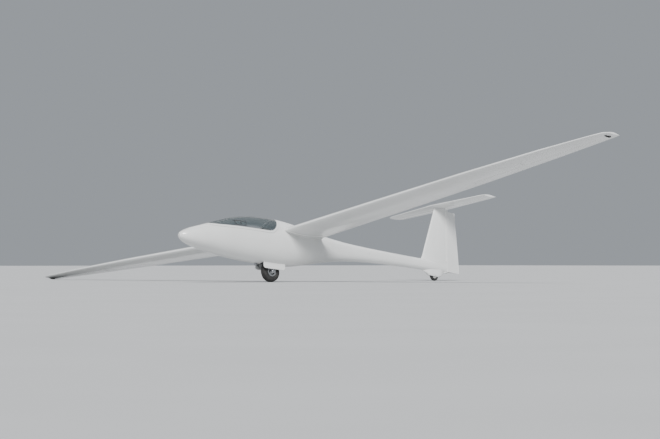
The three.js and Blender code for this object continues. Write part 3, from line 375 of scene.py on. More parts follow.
def outward(obj):
    """Turns all faces outward."""
    bm = bmesh.new()
    bm.from_mesh(obj.data)
    bmesh.ops.recalc_face_normals(bm, faces=bm.faces)
    bm.to_mesh(obj.data)
    bm.free()
    return obj


def loft(rings):
    """A closed skin through rings of points, with a face at each end. A ring may be a single point."""
    verts, faces, starts = [], [], []
    for ring in rings:
        starts.append(len(verts))
        verts.extend(ring)
    for k in range(len(rings) - 1):
        a, b = len(rings[k]), len(rings[k + 1])
        count = max(a, b)
        for i in range(count):
            j = (i + 1) % count
            corners = [starts[k] + i % a, starts[k] + j % a, starts[k + 1] + j % b, starts[k + 1] + i % b]
            faces.append(tuple(dict.fromkeys(corners)))
    for k in (0, -1):
        if len(rings[k]) > 2:
            faces.append(tuple(range(starts[k], starts[k] + len(rings[k]))))
    return outward(new_object(verts, faces))


def hoop(loops):
    """A closed ring-shaped solid through loops of points, the last joined to the first."""
    count = len(loops[0])
    faces = []
    for k in range(len(loops)):
        n = (k + 1) % len(loops)
        for i in range(count):
            j = (i + 1) % count
            faces.append((k * count + i, k * count + j, n * count + j, n * count + i))
    return outward(new_object([v for loop in loops for v in loop], faces))


def stations(start, end, count):
    """Places between two distances behind the nose, closer together towards the nose."""
    return np.linspace(math.sqrt(start), math.sqrt(end), count) ** 2


def hull(start, end, count, inset=0):
    """The fuselage's form between two distances behind the nose, drawn in by `inset`."""
    nose = [(NOSE_X, 0, NOSE_Z)]
    turns = around(HULL_POINTS)
    return loft([nose if d == 0 else hull_point(d, turns, inset) for d in stations(start, end, count)])


def skin(start, end, outer, inner, counts=(120, 120)):
    """The fuselage's wall from one depth to another, between two distances behind the nose."""
    return cut(hull(start, end, counts[0], outer), hull(start - 10, end + 10, counts[1], inner))


def cabin():
    """The room inside the fuselage's walls."""
    return hull(NOSE_BULKHEAD, REAR_BULKHEAD, 60, HULL_WALL + SEAT_GAP)


def box(x0, x1, y0, y1, z0, z1):
    """A block between two places on each axis."""
    verts = [(x, y, z) for x in (x0, x1) for y in (y0, y1) for z in (z0, z1)]
    faces = [(0, 1, 3, 2), (4, 6, 7, 5), (0, 4, 5, 1), (2, 3, 7, 6), (0, 2, 6, 4), (1, 5, 7, 3)]
    return outward(new_object(verts, faces))


def rounded_box(x0, x1, y0, y1, z0, z1, width):
    return softened(box(x0, x1, y0, y1, z0, z1), width, 3)


def circle(centre, across, up, radius, sides):
    return [centre + (across * math.cos(a) + up * math.sin(a)) * radius for a in around(sides)]


def turned(profile, start, way, sides=ROUND_SIDES, closed=False):
    """A solid turned about an axis from (distance along it, radius); a closed profile makes a ring."""
    way = Vector(way).normalized()
    across = way.orthogonal().normalized()
    up = way.cross(across)
    rings = []
    for along, radius in profile:
        centre = Vector(start) + way * along
        rings.append(circle(centre, across, up, radius, sides) if radius else [centre])
    return hoop(rings) if closed else loft(rings)


def bar(a, b, r, sides=ROUND_SIDES):
    a, b = Vector(a), Vector(b)
    return turned([(0, r), ((b - a).length, r)], a, b - a, sides)


def cross_bar(x, z, reach, r, sides=ROUND_SIDES):
    """A bar across the glider, as far to its left as to its right."""
    return bar((x, -reach, z), (x, reach, z), r, sides)


def disc(start, way, low, high, r, sides):
    return turned([(low, 0), (low, r), (high, r), (high, 0)], start, way, sides)


def pin(start, way, length, r, edge, sides):
    """A round bar with its ends' edges cut off."""
    profile = [(0, 0), (0, r - edge), (edge, r), (length - edge, r), (length, r - edge), (length, 0)]
    return turned(profile, start, way, sides)


def hexagon(start, way, r, high):
    """A hexagonal nut or bolt head with worn corners."""
    profile = [(0, 0), (0, r * 0.94), (high * 0.12, r), (high * 0.82, r), (high, r * 0.86), (high, 0)]
    return turned(profile, start, way, 6)


def screw(start, way, r, high):
    """The domed head of a screw."""
    profile = [(-0.4, 0), (-0.4, r), (high * 0.5, r), (high * 0.85, r * 0.75), (high, r * 0.4), (high, 0)]
    return turned(profile, start, way, 20)


def tube(points, radius, count=32, sides=20, smooth=True):
    """A round tube along points. The radius is one number or one per point along the curve."""
    line = smooth_line(points, count) if smooth else np.array(points, float)
    radii = np.broadcast_to(np.asarray(radius, float), (len(line),))
    ways = np.gradient(line, axis=0)
    ways /= np.linalg.norm(ways, axis=1)[:, None]
    across = Vector(ways[0]).orthogonal().normalized()
    rings = []
    for point, way, r in zip(line, ways, radii):
        way = Vector(way)
        across = (across - way * across.dot(way)).normalized()
        rings.append(circle(Vector(point), across, way.cross(across), r, sides))
    return loft(rings)


def slab(outline, y0, y1):
    """A side-view outline (x, z) carried from y0 to y1."""
    return loft([[(x, y, z) for x, z in outline] for y in (y0, y1)])


def plate(outline, x0, x1):
    """A front-view outline (y, z) carried from x0 to x1."""
    return loft([[(x, y, z) for y, z in outline] for x in (x0, x1)])


def settle(obj):
    """Applies the object's modifiers."""
    graph = bpy.context.evaluated_depsgraph_get()
    mesh = bpy.data.meshes.new_from_object(obj.evaluated_get(graph))
    obj.modifiers.clear()
    old = obj.data
    obj.data = mesh
    bpy.data.meshes.remove(old)
    return obj


def combine(target, how, tools):
    """Joins, cuts or keeps what is common, and uses the tools up."""
    for tool in tools:
        step = target.modifiers.new("combine", "BOOLEAN")
        step.operation = how
        step.solver = "MANIFOLD"
        step.object = tool
    settle(target)
    for tool in tools:
        bpy.data.objects.remove(tool)
    return target


def join(target, *tools):
    return combine(target, "UNION", tools)


def cut(target, *tools):
    return combine(target, "DIFFERENCE", tools)


def common(target, *tools):
    return combine(target, "INTERSECT", tools)


def copy(obj):
    return linked("copy", obj.data.copy())


def merged(*objs):
    """Several separate solids as one object."""
    bm = bmesh.new()
    for obj in objs:
        bm.from_mesh(obj.data)
    mesh = bpy.data.meshes.new("merged")
    bm.to_mesh(mesh)
    bm.free()
    for obj in objs:
        bpy.data.objects.remove(obj)
    return linked("merged", mesh)


def softened(obj, width, segments=2, angle=35):
    """Rounds an object's sharp edges."""
    bevel = obj.modifiers.new("bevel", "BEVEL")
    bevel.width = width
    bevel.segments = segments
    bevel.limit_method = "ANGLE"
    bevel.angle_limit = math.radians(angle)
    bevel.use_clamp_overlap = True
    return settle(obj)


def moved(obj, matrix):
    """Moves an object's points, and keeps its faces outward when the matrix mirrors it."""
    obj.data.transform(matrix)
    if matrix.determinant() < 0:
        obj.data.flip_normals()
    return obj


def rows_of(items, what):
    """A vector of each of a mesh's vertices or faces, as rows."""
    values = np.empty(len(items) * 3)
    items.foreach_get(what, values)
    return values.reshape(-1, 3)


def vertices_of(obj):
    return rows_of(obj.data.vertices, "co")


def put_vertices(obj, places):
    obj.data.vertices.foreach_set("co", places.ravel())
    obj.data.update()


def tree_of(obj):
    """A tree of the object's faces for finding where rays meet them."""
    faces = [tuple(p.vertices) for p in obj.data.polygons]
    return BVHTree.FromPolygons([v.co for v in obj.data.vertices], faces)


def both_sides(build):
    for side, sign in SIDES:
        build(side, sign)


def piece(name, obj, slot, finish, *nodes, body="airframe", lining=None, smooth=35):
    """Names a finished piece, stands it on the ground with the rest and says what it belongs to."""
    obj.name = name
    obj.data.name = name
    obj.data.materials.clear()
    obj.data.materials.append(MATERIALS[finish])
    if lining:
        obj.data.materials.append(MATERIALS[lining])
    moved(obj, Matrix.Scale(MM, 4))
    moved(obj, PARK)
    obj.data.polygons.foreach_set("use_smooth", [True] * len(obj.data.polygons))
    obj.data.set_sharp_from_angle(angle=math.radians(smooth))
    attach(obj, body)
    if nodes:
        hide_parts(*nodes)
    return obj


# Materials

def put(node, **values):
    """Sets a node's inputs. An underscore in a name stands for a space."""
    for name, value in values.items():
        node.inputs[name.replace("_", " ")].default_value = value
    return node


def new_material(name, **values):
    """A material, its nodes' tree and its shader."""
    material = bpy.data.materials.new(name)
    material.use_nodes = True
    return material, material.node_tree, put(material.node_tree.nodes["Principled BSDF"], **values)


def new_node(tree, kind, **values):
    return put(tree.nodes.new(kind), **values)


def object_place(tree):
    return tree.nodes.new("ShaderNodeTexCoord").outputs["Object"]


def noise(tree, scale, detail, distortion=0):
    texture = new_node(tree, "ShaderNodeTexNoise", Scale=scale, Detail=detail, Distortion=distortion)
    tree.links.new(object_place(tree), texture.inputs["Vector"])
    return texture.outputs["Fac"]


def ramp(tree, source, target, *stops):
    """Leads a source to a target input through stops of (place, colour or number)."""
    node = tree.nodes.new("ShaderNodeValToRGB")
    elements = node.color_ramp.elements
    while len(elements) < len(stops):
        elements.new(0.5)
    for element, (place, value) in zip(elements, stops):
        element.position = place
        element.color = (*value, 1) if isinstance(value, tuple) else (value, value, value, 1)
    tree.links.new(source, node.inputs["Fac"])
    tree.links.new(node.outputs["Color"], target)


def bump(tree, source, shader, strength, distance):
    node = new_node(tree, "ShaderNodeBump", Strength=strength, Distance=distance)
    tree.links.new(source, node.inputs["Height"])
    tree.links.new(node.outputs["Normal"], shader.inputs["Normal"])


def finish_of(name, dark, light, rough, grain, relief, metallic=0, coat=0):
    """A surface with a wide and a fine variation of colour and roughness, and a fine relief."""
    material, tree, shader = new_material(name, Metallic=metallic, Coat_Weight=coat, Coat_Roughness=0.08)
    wide = noise(tree, grain[0], 6, 0.4)
    fine = noise(tree, grain[1], 3)
    ramp(tree, wide, shader.inputs["Base Color"], (0.3, dark), (0.7, light))
    ramp(tree, wide, shader.inputs["Roughness"], (0.3, rough[1]), (0.7, rough[0]))
    bump(tree, fine, shader, *relief)
    return material


def clear_material(name):
    """Acrylic: clear where it faces the eye, denser towards its edges, with faint smears."""
    material, tree, shader = new_material(name, Base_Color=(0.1, 0.125, 0.135, 1), IOR=1.49)
    edge = new_node(tree, "ShaderNodeLayerWeight", Blend=0.25).outputs["Fresnel"]
    ramp(tree, edge, shader.inputs["Alpha"], (0.0, 0.05), (0.3, 0.16), (0.8, 0.7))
    ramp(tree, noise(tree, 9, 5, 1), shader.inputs["Roughness"], (0.35, 0.02), (0.75, 0.07))
    return material


def woven(name, dark, light, pitch, rough, relief):
    """Cloth with threads both ways, a wide fade and a little fluff."""
    material, tree, shader = new_material(name, Roughness=rough, Sheen_Weight=0.25)
    place = object_place(tree)
    weave = tree.nodes.new("ShaderNodeMath")
    weave.operation = "MULTIPLY"
    for way, target in zip(("X", "Y"), weave.inputs):
        wave = new_node(tree, "ShaderNodeTexWave", Scale=pitch, Distortion=0.4)
        wave.wave_type = "BANDS"
        wave.bands_direction = way
        tree.links.new(place, wave.inputs["Vector"])
        tree.links.new(wave.outputs["Fac"], target)
    blend = tree.nodes.new("ShaderNodeMath")
    blend.operation = "MULTIPLY_ADD"
    blend.inputs[1].default_value = 0.35
    tree.links.new(weave.outputs[0], blend.inputs[0])
    tree.links.new(noise(tree, 7, 6, 0.6), blend.inputs[2])
    ramp(tree, blend.outputs[0], shader.inputs["Base Color"], (0.3, dark), (0.85, light))
    bump(tree, weave.outputs[0], shader, *relief)
    return material


# Finishes: dark and light colour, roughness, wide and fine grain, relief, and for some metal and coat
FINISHES = {
    "white_gelcoat": (
        (0.76, 0.765, 0.75), (0.82, 0.825, 0.815), (0.16, 0.24), (1.4, 30), (0.03, 0.001), 0, 0.5
    ),
    "cabin_paint": ((0.3, 0.31, 0.32), (0.4, 0.41, 0.42), (0.5, 0.65), (40, 260), (0.3, 0.001)),
    "tyre_rubber": ((0.012, 0.012, 0.012), (0.03, 0.029, 0.028), (0.7, 0.85), (20, 240), (0.3, 0.001)),
    "alloy": ((0.5, 0.51, 0.52), (0.66, 0.67, 0.68), (0.28, 0.45), (25, 300), (0.1, 0.0005), 1),
    "seam_tape": ((0.8, 0.8, 0.78), (0.86, 0.86, 0.84), (0.35, 0.5), (9, 300), (0.08, 0.0005)),
    "seal_rubber": ((0.016, 0.016, 0.017), (0.035, 0.035, 0.037), (0.6, 0.8), (30, 300), (0.2, 0.0005)),
    "dark_plastic": ((0.03, 0.032, 0.035), (0.05, 0.052, 0.056), (0.35, 0.5), (20, 400), (0.15, 0.0003)),
    "bright_steel": ((0.42, 0.43, 0.45), (0.58, 0.59, 0.6), (0.22, 0.4), (30, 500), (0.08, 0.0003), 1),
    "painted_steel": ((0.3, 0.31, 0.33), (0.38, 0.39, 0.41), (0.3, 0.45), (18, 260), (0.1, 0.0005), 0, 0.2),
    "bay_paint": ((0.34, 0.35, 0.36), (0.46, 0.47, 0.48), (0.5, 0.7), (12, 120), (0.3, 0.001)),
    "hub_nylon": ((0.6, 0.6, 0.58), (0.68, 0.68, 0.66), (0.35, 0.5), (30, 300), (0.1, 0.0003)),
    "seat_shell": ((0.4, 0.405, 0.41), (0.5, 0.505, 0.51), (0.4, 0.6), (14, 240), (0.3, 0.0005)),
    "piping": ((0.03, 0.032, 0.036), (0.06, 0.062, 0.066), (0.6, 0.8), (60, 700), (0.3, 0.0003)),
    "panel_paint": ((0.025, 0.027, 0.03), (0.045, 0.047, 0.05), (0.5, 0.65), (30, 900), (0.5, 0.0003)),
    "cowl_skin": ((0.02, 0.021, 0.023), (0.04, 0.041, 0.043), (0.65, 0.8), (60, 500), (0.6, 0.0006)),
    "dial_black": ((0.01, 0.01, 0.011), (0.018, 0.018, 0.019), (0.5, 0.6), (40, 600), (0.1, 0.0002)),
    "dial_white": ((0.8, 0.8, 0.78), (0.88, 0.88, 0.86), (0.4, 0.5), (40, 600), (0.05, 0.0002)),
    "display_amber": ((0.3, 0.16, 0.03), (0.4, 0.22, 0.05), (0.15, 0.25), (60, 600), (0.02, 0.0001)),
    "yellow_plastic": ((0.78, 0.52, 0.02), (0.86, 0.6, 0.04), (0.2, 0.35), (20, 300), (0.05, 0.0003), 0, 0.3),
    "blue_plastic": ((0.02, 0.12, 0.5), (0.03, 0.17, 0.6), (0.25, 0.4), (20, 300), (0.08, 0.0003), 0, 0.2),
    "red_plastic": ((0.42, 0.015, 0.012), (0.5, 0.025, 0.02), (0.25, 0.4), (20, 300), (0.08, 0.0003)),
    "grip_rubber": ((0.014, 0.014, 0.015), (0.03, 0.03, 0.032), (0.55, 0.75), (60, 500), (0.5, 0.0005)),
    "boot_leather": ((0.018, 0.016, 0.015), (0.04, 0.036, 0.033), (0.5, 0.7), (90, 500), (0.6, 0.0006)),
}
# Cloths: dark and light colour, threads to the metre, roughness, relief
CLOTHS = {
    "seat_cloth": ((0.1, 0.105, 0.12), (0.19, 0.2, 0.22), 420, 0.9, (0.35, 0.0006)),
    "harness_web": ((0.03, 0.075, 0.2), (0.06, 0.13, 0.32), 300, 0.8, (0.5, 0.0005)),
}
MATERIALS = {name: finish_of(name, *row) for name, row in FINISHES.items()}
MATERIALS |= {name: woven(name, *row) for name, row in CLOTHS.items()}
MATERIALS["canopy_clear"] = clear_material("canopy_clear")


# Fuselage and canopy

FUSELAGE_PARTS = ("nose", "front_left", "front_right", "middle_left", "middle_right", "rear")
FUSELAGE_NODES = [f"fuselage_{part}" for part in FUSELAGE_PARTS]
GLASS_PARTS = ("front", "middle", "rear")
GLASS_NODES = [f"canopy_glass_{part}_{side}" for part in GLASS_PARTS for side, _ in SIDES]


def above_sill(lift):
    """Everything above the canopy's lower edge, with that edge moved up by `lift`."""
    def curve(end, bend, sill):
        t = np.linspace(0, 1, 24)[:, None]
        return (1 - t) ** 2 * end + 2 * t * (1 - t) * bend + t**2 * sill

    edge = np.concatenate([curve(*CANOPY_FRONT), curve(*CANOPY_REAR)[::-1]])
    raised = strip(edge, 0, lift)[: len(edge)]
    side, roof = CLEAR_OF_HULL["side"], CLEAR_OF_HULL["roof"]
    return slab([*raised, (raised[-1][0], roof), (raised[0][0], roof)], -side, side)


def wing_section(y):
    """The wing's leading edge, chord and thickness share at a place along its span."""
    return tuple(straight(WING, column, y) for column in (1, 2, 3))


def wing_ring(y, section=None):
    """The wing's outline at a place along its span."""
    lead, chord, thickness = section or wing_section(y)
    return [(lead - share * chord, y, z) for share, z in foil(chord, thickness, WING_CAMBER)]


def wing_surface(y, x):
    """The wing section's middle line and half thickness at a place."""
    lead, chord, thickness = wing_section(y)
    share = (lead - x) / chord
    return float(camber_line(share, WING_CAMBER)) * chord, float(half_thickness(share, thickness)) * chord


def wing_place(sign):
    """The matrix that sets a left panel on its side of the glider, with its dihedral and incidence."""
    place = Matrix.Translation((0, 0, WING_Z)) @ Matrix.Rotation(DIHEDRAL, 4, "X")
    return Matrix.Diagonal((1, sign, 1, 1)) @ place @ Matrix.Rotation(-INCIDENCE, 4, "Y")


def wing_root(sign):
    """The wing's stump on the fuselage, swelling into its side."""
    flare = ROOT_FLARE
    rings = []
    for y in [0, *np.linspace(flare["from"], WING_ROOT, flare["rings"])]:
        lead, chord, thickness = wing_section(y)
        grow = min((WING_ROOT - y) / (WING_ROOT - flare["from"]), 1) ** flare["power"]
        lead, chord = lead + flare["ahead"] * grow, chord + flare["chord"] * grow
        rings.append(wing_ring(y, (lead, chord, thickness * (1 + flare["thick"] * grow))))
    return moved(loft(rings), wing_place(sign))


def hinge_bar(x0, x1, r):
    return bar((x0, HINGE_Y, HINGE_Z), (x1, HINGE_Y, HINGE_Z), r)


def hinge_lug(x0, x1, up):
    """A canopy hinge lug: up is -1 on the fuselage and 1 on the canopy's frame."""
    reach = HINGE_Y + (60 if up > 0 else 30)
    half = LUG["half"]
    outline = [
        (HINGE_Y - half, HINGE_Z),
        (HINGE_Y, HINGE_Z + up * half),
        (reach, HINGE_Z + up * 30),
        (reach, HINGE_Z + up * 12),
        (HINGE_Y + half, HINGE_Z),
        (HINGE_Y, HINGE_Z - up * half),
    ]
    return join(plate(outline, x0, x1), hinge_bar(x0, x1, LUG["r"]))


def beside(near, far):
    """Spans from `near` to `far` on both sides of each canopy hinge."""
    return [span for p in HINGE_PLACES for span in ((p - far, p - near), (p + near, p + far))]


def line_inside(obj, depth):
    """Gives the faces that lie deeper than `depth` under the cockpit's skin the second material."""
    centres = rows_of(obj.data.polygons, "center")
    inside = (hull_depth(centres) > depth) & (centres[:, 0] > LINING_FROM)
    obj.data.polygons.foreach_set("material_index", inside.astype(int))


def build_fuselage(rudder_room):
    """The fuselage with its wing stumps.

    Cut out of it are the canopy, the cabin, the openings for both wheels, the room the rudder swings
    in, the nose vent and the gaps in the canopy's hinges.
    """
    x, slot, room = (TAIL_WHEEL[name] for name in ("x", "slot", "room"))
    length, half = BAY["length"], BAY["half"]
    shell = join(hull(0, TAIL_END, HULL_STATIONS), *[wing_root(sign) for _, sign in SIDES])
    cut(
        shell,
        above_sill(-RUN_GAP / 2),
        hull(NOSE_BULKHEAD, REAR_BULKHEAD, 90, HULL_WALL),
        box(-length, length, -half, half, BAY["low"], 420),
        box(x - room, x + room, -slot, slot, 500, 700),
        rudder_room,
        bar((NOSE_X - VENT["deep"], 0, NOSE_Z), (NOSE_X + 10, 0, NOSE_Z), VENT["r"]),
        *[hinge_bar(p - LUG["gap"], p + LUG["gap"], LUG["room"]) for p in HINGE_PLACES],
    )
    line_inside(shell, 4)
    foot = RUDDER["hinge_bottom"]
    bracket = softened(box(foot - 24, foot + 88, -22, 22, 638, 656), 3)
    lugs = [hinge_lug(*span, -1) for span in beside(LUG["gap"], LUG["out"])]
    pins = [hinge_bar(p - LUG["out"], p + LUG["out"], HINGE_PIN_R) for p in HINGE_PLACES]
    join(shell, bracket, *lugs, *pins)
    piece("fuselage_shell", shell, "white_gelcoat", "white_gelcoat", *FUSELAGE_NODES, lining="cabin_paint")


def build_canopy():
    """The canopy's frame with its hinge ears, and the clear dome on it."""
    gap, ear = RUN_GAP / 2, LUG["ear"]
    ears = [cut(hinge_lug(p - ear, p + ear, 1), hull(300, 2300, 40, FRAME_WALL)) for p in HINGE_PLACES]
    ear_twins = [copy(one) for one in ears]
    band = cut(above_sill(gap), above_sill(gap + FRAME_HEIGHT))
    rim = join(common(skin(*CANOPY_SPAN, 0, FRAME_WALL), band), *ears)
    holes = [hinge_bar(p - 12, p + 12, HINGE_PIN_R + PIN_GAP) for p in HINGE_PLACES]
    cut(rim, *holes, *[hinge_bar(*span, LUG["room"]) for span in beside(ear, 26)])
    line_inside(rim, 3)
    white = ("white_gelcoat", "white_gelcoat")
    piece("canopy_rim", rim, *white, "canopy_frame", body="canopy", lining="cabin_paint")
    dome = common(skin(*CANOPY_SPAN, 0, GLASS_WALL), above_sill(gap + FRAME_HEIGHT + SEAT_GAP))
    cut(dome, *ear_twins)
    piece("canopy_dome", dome, "canopy_clear", "canopy_clear", *GLASS_NODES, body="canopy", smooth=40)


# Wings and tail

def white_skin(name, obj, *nodes, body="airframe"):
    return piece(name, obj, "white_gelcoat", "white_gelcoat", *nodes, body=body)


def hinged(body, line, behind):
    """Parts a body along a hinge line of (point, half thickness): (fixed part, moving part, hollow)."""
    a, b = Vector(line[0][0]), Vector(line[-1][0])
    way = (b - a).normalized()
    span = (b - a).length

    def spindle(grow, short):
        places = [min(max((Vector(p) - a).length, short), span - short) for p, _ in line]
        profile = [(place, r + grow) for place, (_, r) in zip(places, line)]
        return turned([(places[0], 0), *profile, (places[-1], 0)], a, way)

    def pins(r, deep):
        ends = ((a, way), (b, -way))
        return [bar(end - out * PIN_DEPTH, end + out * (RUN_GAP + deep), r) for end, out in ends]

    moving = join(common(copy(body), behind(RUN_GAP)), spindle(0, RUN_GAP))
    cut(moving, *pins(PIN_R + PIN_GAP, PIN_DEPTH + RUN_GAP))
    fixed = join(cut(body, behind(0), spindle(RUN_GAP, 0)), *pins(PIN_R, PIN_DEPTH))
    hollow = join(behind(0), spindle(RUN_GAP, 0))
    return fixed, moving, hollow


def wing_stations():
    """Places along a wing panel: the table's rows and even steps between them."""
    rows = [WING_ROOT + SEAT_GAP, *[row[0] for row in WING if row[0] > WING_ROOT]]
    places = rows[:1]
    for start, end in zip(rows, rows[1:]):
        places.extend(np.linspace(start, end, max(1, round((end - start) / WING_STEP)) + 1)[1:])
    return places


def aileron_hinge(y):
    return float(np.interp(y, [AILERON["from"], AILERON["to"]], [AILERON["hinge_from"], AILERON["hinge_to"]]))


def aileron_line():
    """The aileron's hinge line as (point, half thickness), straight from end to end."""
    start, end = AILERON["from"], AILERON["to"]
    z0, z1 = (wing_surface(y, aileron_hinge(y))[0] for y in (start, end))
    line = []
    for y in [start, *[row[0] for row in WING if start + 200 < row[0] < end], end]:
        x, share = aileron_hinge(y), (y - start) / (end - start)
        line.append(((x, y, z0 + (z1 - z0) * share), wing_surface(y, x)[1]))
    return line


def behind_aileron(gap):
    y0, y1 = AILERON["from"] + gap, AILERON["to"] - gap
    x0, x1 = AILERON["hinge_from"], AILERON["hinge_to"]
    outline = [(x0, y0), (x1, y1), (x1 - SURFACE_REACH, y1), (x0 - SURFACE_REACH, y0)]
    return loft([[(x, y, z) for x, y in outline] for z in (-200, 200)])


def build_wing(side, sign):
    """A wing panel, its aileron and its airbrake."""
    place = wing_place(sign)
    whole = loft([wing_ring(y) for y in wing_stations()])
    fixed, moving, hollow = hinged(whole, aileron_line(), behind_aileron)
    bpy.data.objects.remove(hollow)
    x, half = BRAKE["x"], BRAKE["thick"] / 2 + RUN_GAP
    cut(fixed, box(x - half, x + half, BRAKE["from"] - RUN_GAP, BRAKE["to"] + RUN_GAP, BRAKE["floor"], 200))
    white_skin(f"wing_panel_{side}", moved(fixed, place), f"wing_{side}")
    white_skin(f"aileron_skin_{side}", moved(moving, place), f"aileron_{side}", body=f"aileron_{side}")
    build_brake(side, place)


def build_brake(side, place):
    """The airbrake: a thin alloy blade with lightening holes under a white cap flush with the wing's skin."""
    body = f"airbrake_{side}"
    x, y0, y1, floor = BRAKE["x"], BRAKE["from"], BRAKE["to"], BRAKE["floor"] + SEAT_GAP
    half, thick = BRAKE_CAP["half"], BRAKE_CAP["thick"]
    leaf, hole = BRAKE_BLADE, BRAKE_HOLES

    def top_at(y, dx, drop):
        middle, above = wing_surface(y, x + dx)
        return (x + dx, y, middle + above - drop)

    corners = ((-half, 0), (half, 0), (half, thick), (-half, thick))
    cap = loft([[top_at(y, dx, drop) for dx, drop in corners] for y in np.linspace(y0 + 1, y1 - 1, 14)])
    piece(f"airbrake_cap_{side}", moved(softened(cap, 0.6), place), "alloy", "white_gelcoat", body=body)
    ends = (y0 + leaf["from_end"], y1 - leaf["from_end"])
    tops = [top_at(y, 0, thick + 0.2)[2] for y in ends]
    outline = [(ends[0], floor), (ends[1], floor), (ends[1], tops[1]), (ends[0], tops[0])]
    blade = loft([[(x + dx, y, z) for y, z in outline] for dx in (-leaf["half"], leaf["half"])])
    holes = []
    for row, height in enumerate(hole["rows"]):
        for y in np.arange(y0 + hole["from_end"] + row * hole["pitch"] / 2, y1 - 50, hole["pitch"]):
            z = floor + (np.interp(y, [y0, y1], tops) - floor) * height
            holes.append(bar((x - 6, y, z), (x + 6, y, z), hole["r"], 24))
    cut(blade, merged(*holes))
    rail = rectangle(-leaf["rail_half"], leaf["rail_half"], 0, leaf["rail_high"])
    join(blade, *[
        loft([[(x + dx, y, z + dz) for dx, dz in rail] for y, z in zip(ends, heights)])
        for heights in ((floor, floor), [top - leaf["rail_high"] for top in tops])
    ])
    piece(f"airbrake_blade_{side}", moved(blade, place), "alloy", "alloy", f"airbrake_{side}", body=body)


def tail_section(surface, at):
    """The leading edge and chord of the fin or the tailplane at a place along it."""
    lead, back = (straight(surface["rows"], column, abs(at)) for column in (1, 2))
    return lead, lead - back


def tail_half(surface, at, x):
    """Half of the fin's or the tailplane's thickness at a place."""
    lead, chord = tail_section(surface, at)
    return float(half_thickness((lead - x) / chord, surface["thickness"])) * chord


def tail_solid(surface, places, lay):
    """The fin or the tailplane. `lay` turns (x, place along it, out of it) into a point of the glider."""
    rings = []
    for at in places:
        lead, chord = tail_section(surface, at)
        rings.append([lay(lead - s * chord, at, out) for s, out in foil(chord, surface["thickness"], 0)])
    return loft(rings)


def tailplane_solid(drop=0):
    outs = [0, *np.linspace(200, 1210, 6), 1245, 1275]
    places = [-out for out in outs[:0:-1]] + outs
    return tail_solid(TAILPLANE, places, lambda x, y, z: (x, y, TAILPLANE_Z + z - drop))


def rudder_hinge(z):
    ends = [RUDDER["bottom"], RUDDER["top"]]
    return float(np.interp(z, ends, [RUDDER["hinge_bottom"], RUDDER["hinge_top"]]))


def behind_elevator(gap):
    half, hinge = ELEVATOR["half"] - gap, ELEVATOR["hinge"]
    return box(hinge - 400, hinge, -half, half, TAILPLANE_Z - 100, TAILPLANE_Z + 100)


def behind_rudder(gap):
    bottom, top = RUDDER["hinge_bottom"], RUDDER["hinge_top"]
    z0, z1 = RUDDER["bottom"] + gap, RUDDER["top"] - gap
    return slab([(bottom, z0), (top, z1), (top - SURFACE_REACH, z1), (bottom - SURFACE_REACH, z0)], -200, 200)


def build_tailplane():
    half, hinge = ELEVATOR["half"], ELEVATOR["hinge"]
    line = [((hinge, y, TAILPLANE_Z), tail_half(TAILPLANE, y, hinge)) for y in (-half, 0, half)]
    fixed, moving, hollow = hinged(tailplane_solid(), line, behind_elevator)
    bpy.data.objects.remove(hollow)
    white_skin("tailplane_skin", fixed, "tailplane")
    white_skin("elevator_skin", moving, "elevator", body="elevator")


def build_fin():
    """Builds the fin and the rudder, and hands back the hollow that the rudder swings in."""
    bottom, middle, top = (row[0] for row in FIN["rows"])
    heights = [*np.linspace(bottom, middle, 9), *np.linspace(middle, top, 7)[1:]]
    line = []
    for z in (RUDDER["bottom"], middle, RUDDER["top"]):
        x = rudder_hinge(z)
        line.append(((x, 0, z), tail_half(FIN, z, x)))
    fin = tail_solid(FIN, heights, lambda x, z, y: (x, y, z))
    fixed, moving, hollow = hinged(fin, line, behind_rudder)

    def behind(x, low, high):
        return box(-5000, x, -200, 200, low, high)

    cut(
        fixed,
        hull(3000, TAIL_END, 80, -SEAT_GAP),
        tailplane_solid(SEAT_GAP),
        tailplane_solid(-SEAT_GAP),
        behind(ELEVATOR["hinge"] + 24, FIN_TOP, 2100),
        behind(RUDDER["hinge_top"] - 22, 500, 2100),
        behind(0, 400, 760),
        behind(0, TAILPLANE_Z, 2100),
    )
    white_skin("fin_skin", fixed, "fin")
    white_skin("rudder_skin", moving, "rudder", body="rudder")
    return hollow


# Wheels

# Tyres: share of the half width at the rim, share of the wall that is bead, power that rounds the crown,
# and the spacing of the section's points
TYRE_SEAT = 0.72
TYRE_BEAD = 0.17
TYRE_ROUND = 0.78
TYRE_STEP = 1.2


def tyre_profile(rim, outer, half, grooves, rings):
    """A tyre's closed section as (across, radius).

    A groove is (place across, half width, depth). A ring moulded on the side walls is (radius, width,
    height).
    """
    seat, middle = half * TYRE_SEAT, (rim + outer) / 2
    ease = np.linspace(0, 1, 16)
    bulge = TYRE_BEAD + (1 - TYRE_BEAD) * ease * (2 - ease)
    level = TYRE_BEAD + (1 - TYRE_BEAD) * ease
    wall = np.stack([seat + (half - seat) * bulge, rim + (middle - rim) * level], axis=-1)
    angles = np.linspace(math.pi / 2, 0, 40)[1:]
    crown_out = half * np.sin(angles) ** TYRE_ROUND
    crown_up = middle + (outer - middle) * np.cos(angles) ** TYRE_ROUND
    line = np.array([(seat, rim), *wall, *np.stack([crown_out, crown_up], axis=-1)])
    across, radius = evenly(line, round(lengths_along(line)[-1] / TYRE_STEP)).T
    for place, width, depth in grooves:
        radius = radius - depth * np.sqrt(np.clip(1 - abs(across - place) / width, 0, 1))
    for place, width, height in rings:
        across = across + height * np.exp(-(((radius - place) / width) ** 2)) * (across > seat)
    return [*zip(-across[:-1], radius[:-1]), *zip(across[::-1], radius[::-1])]


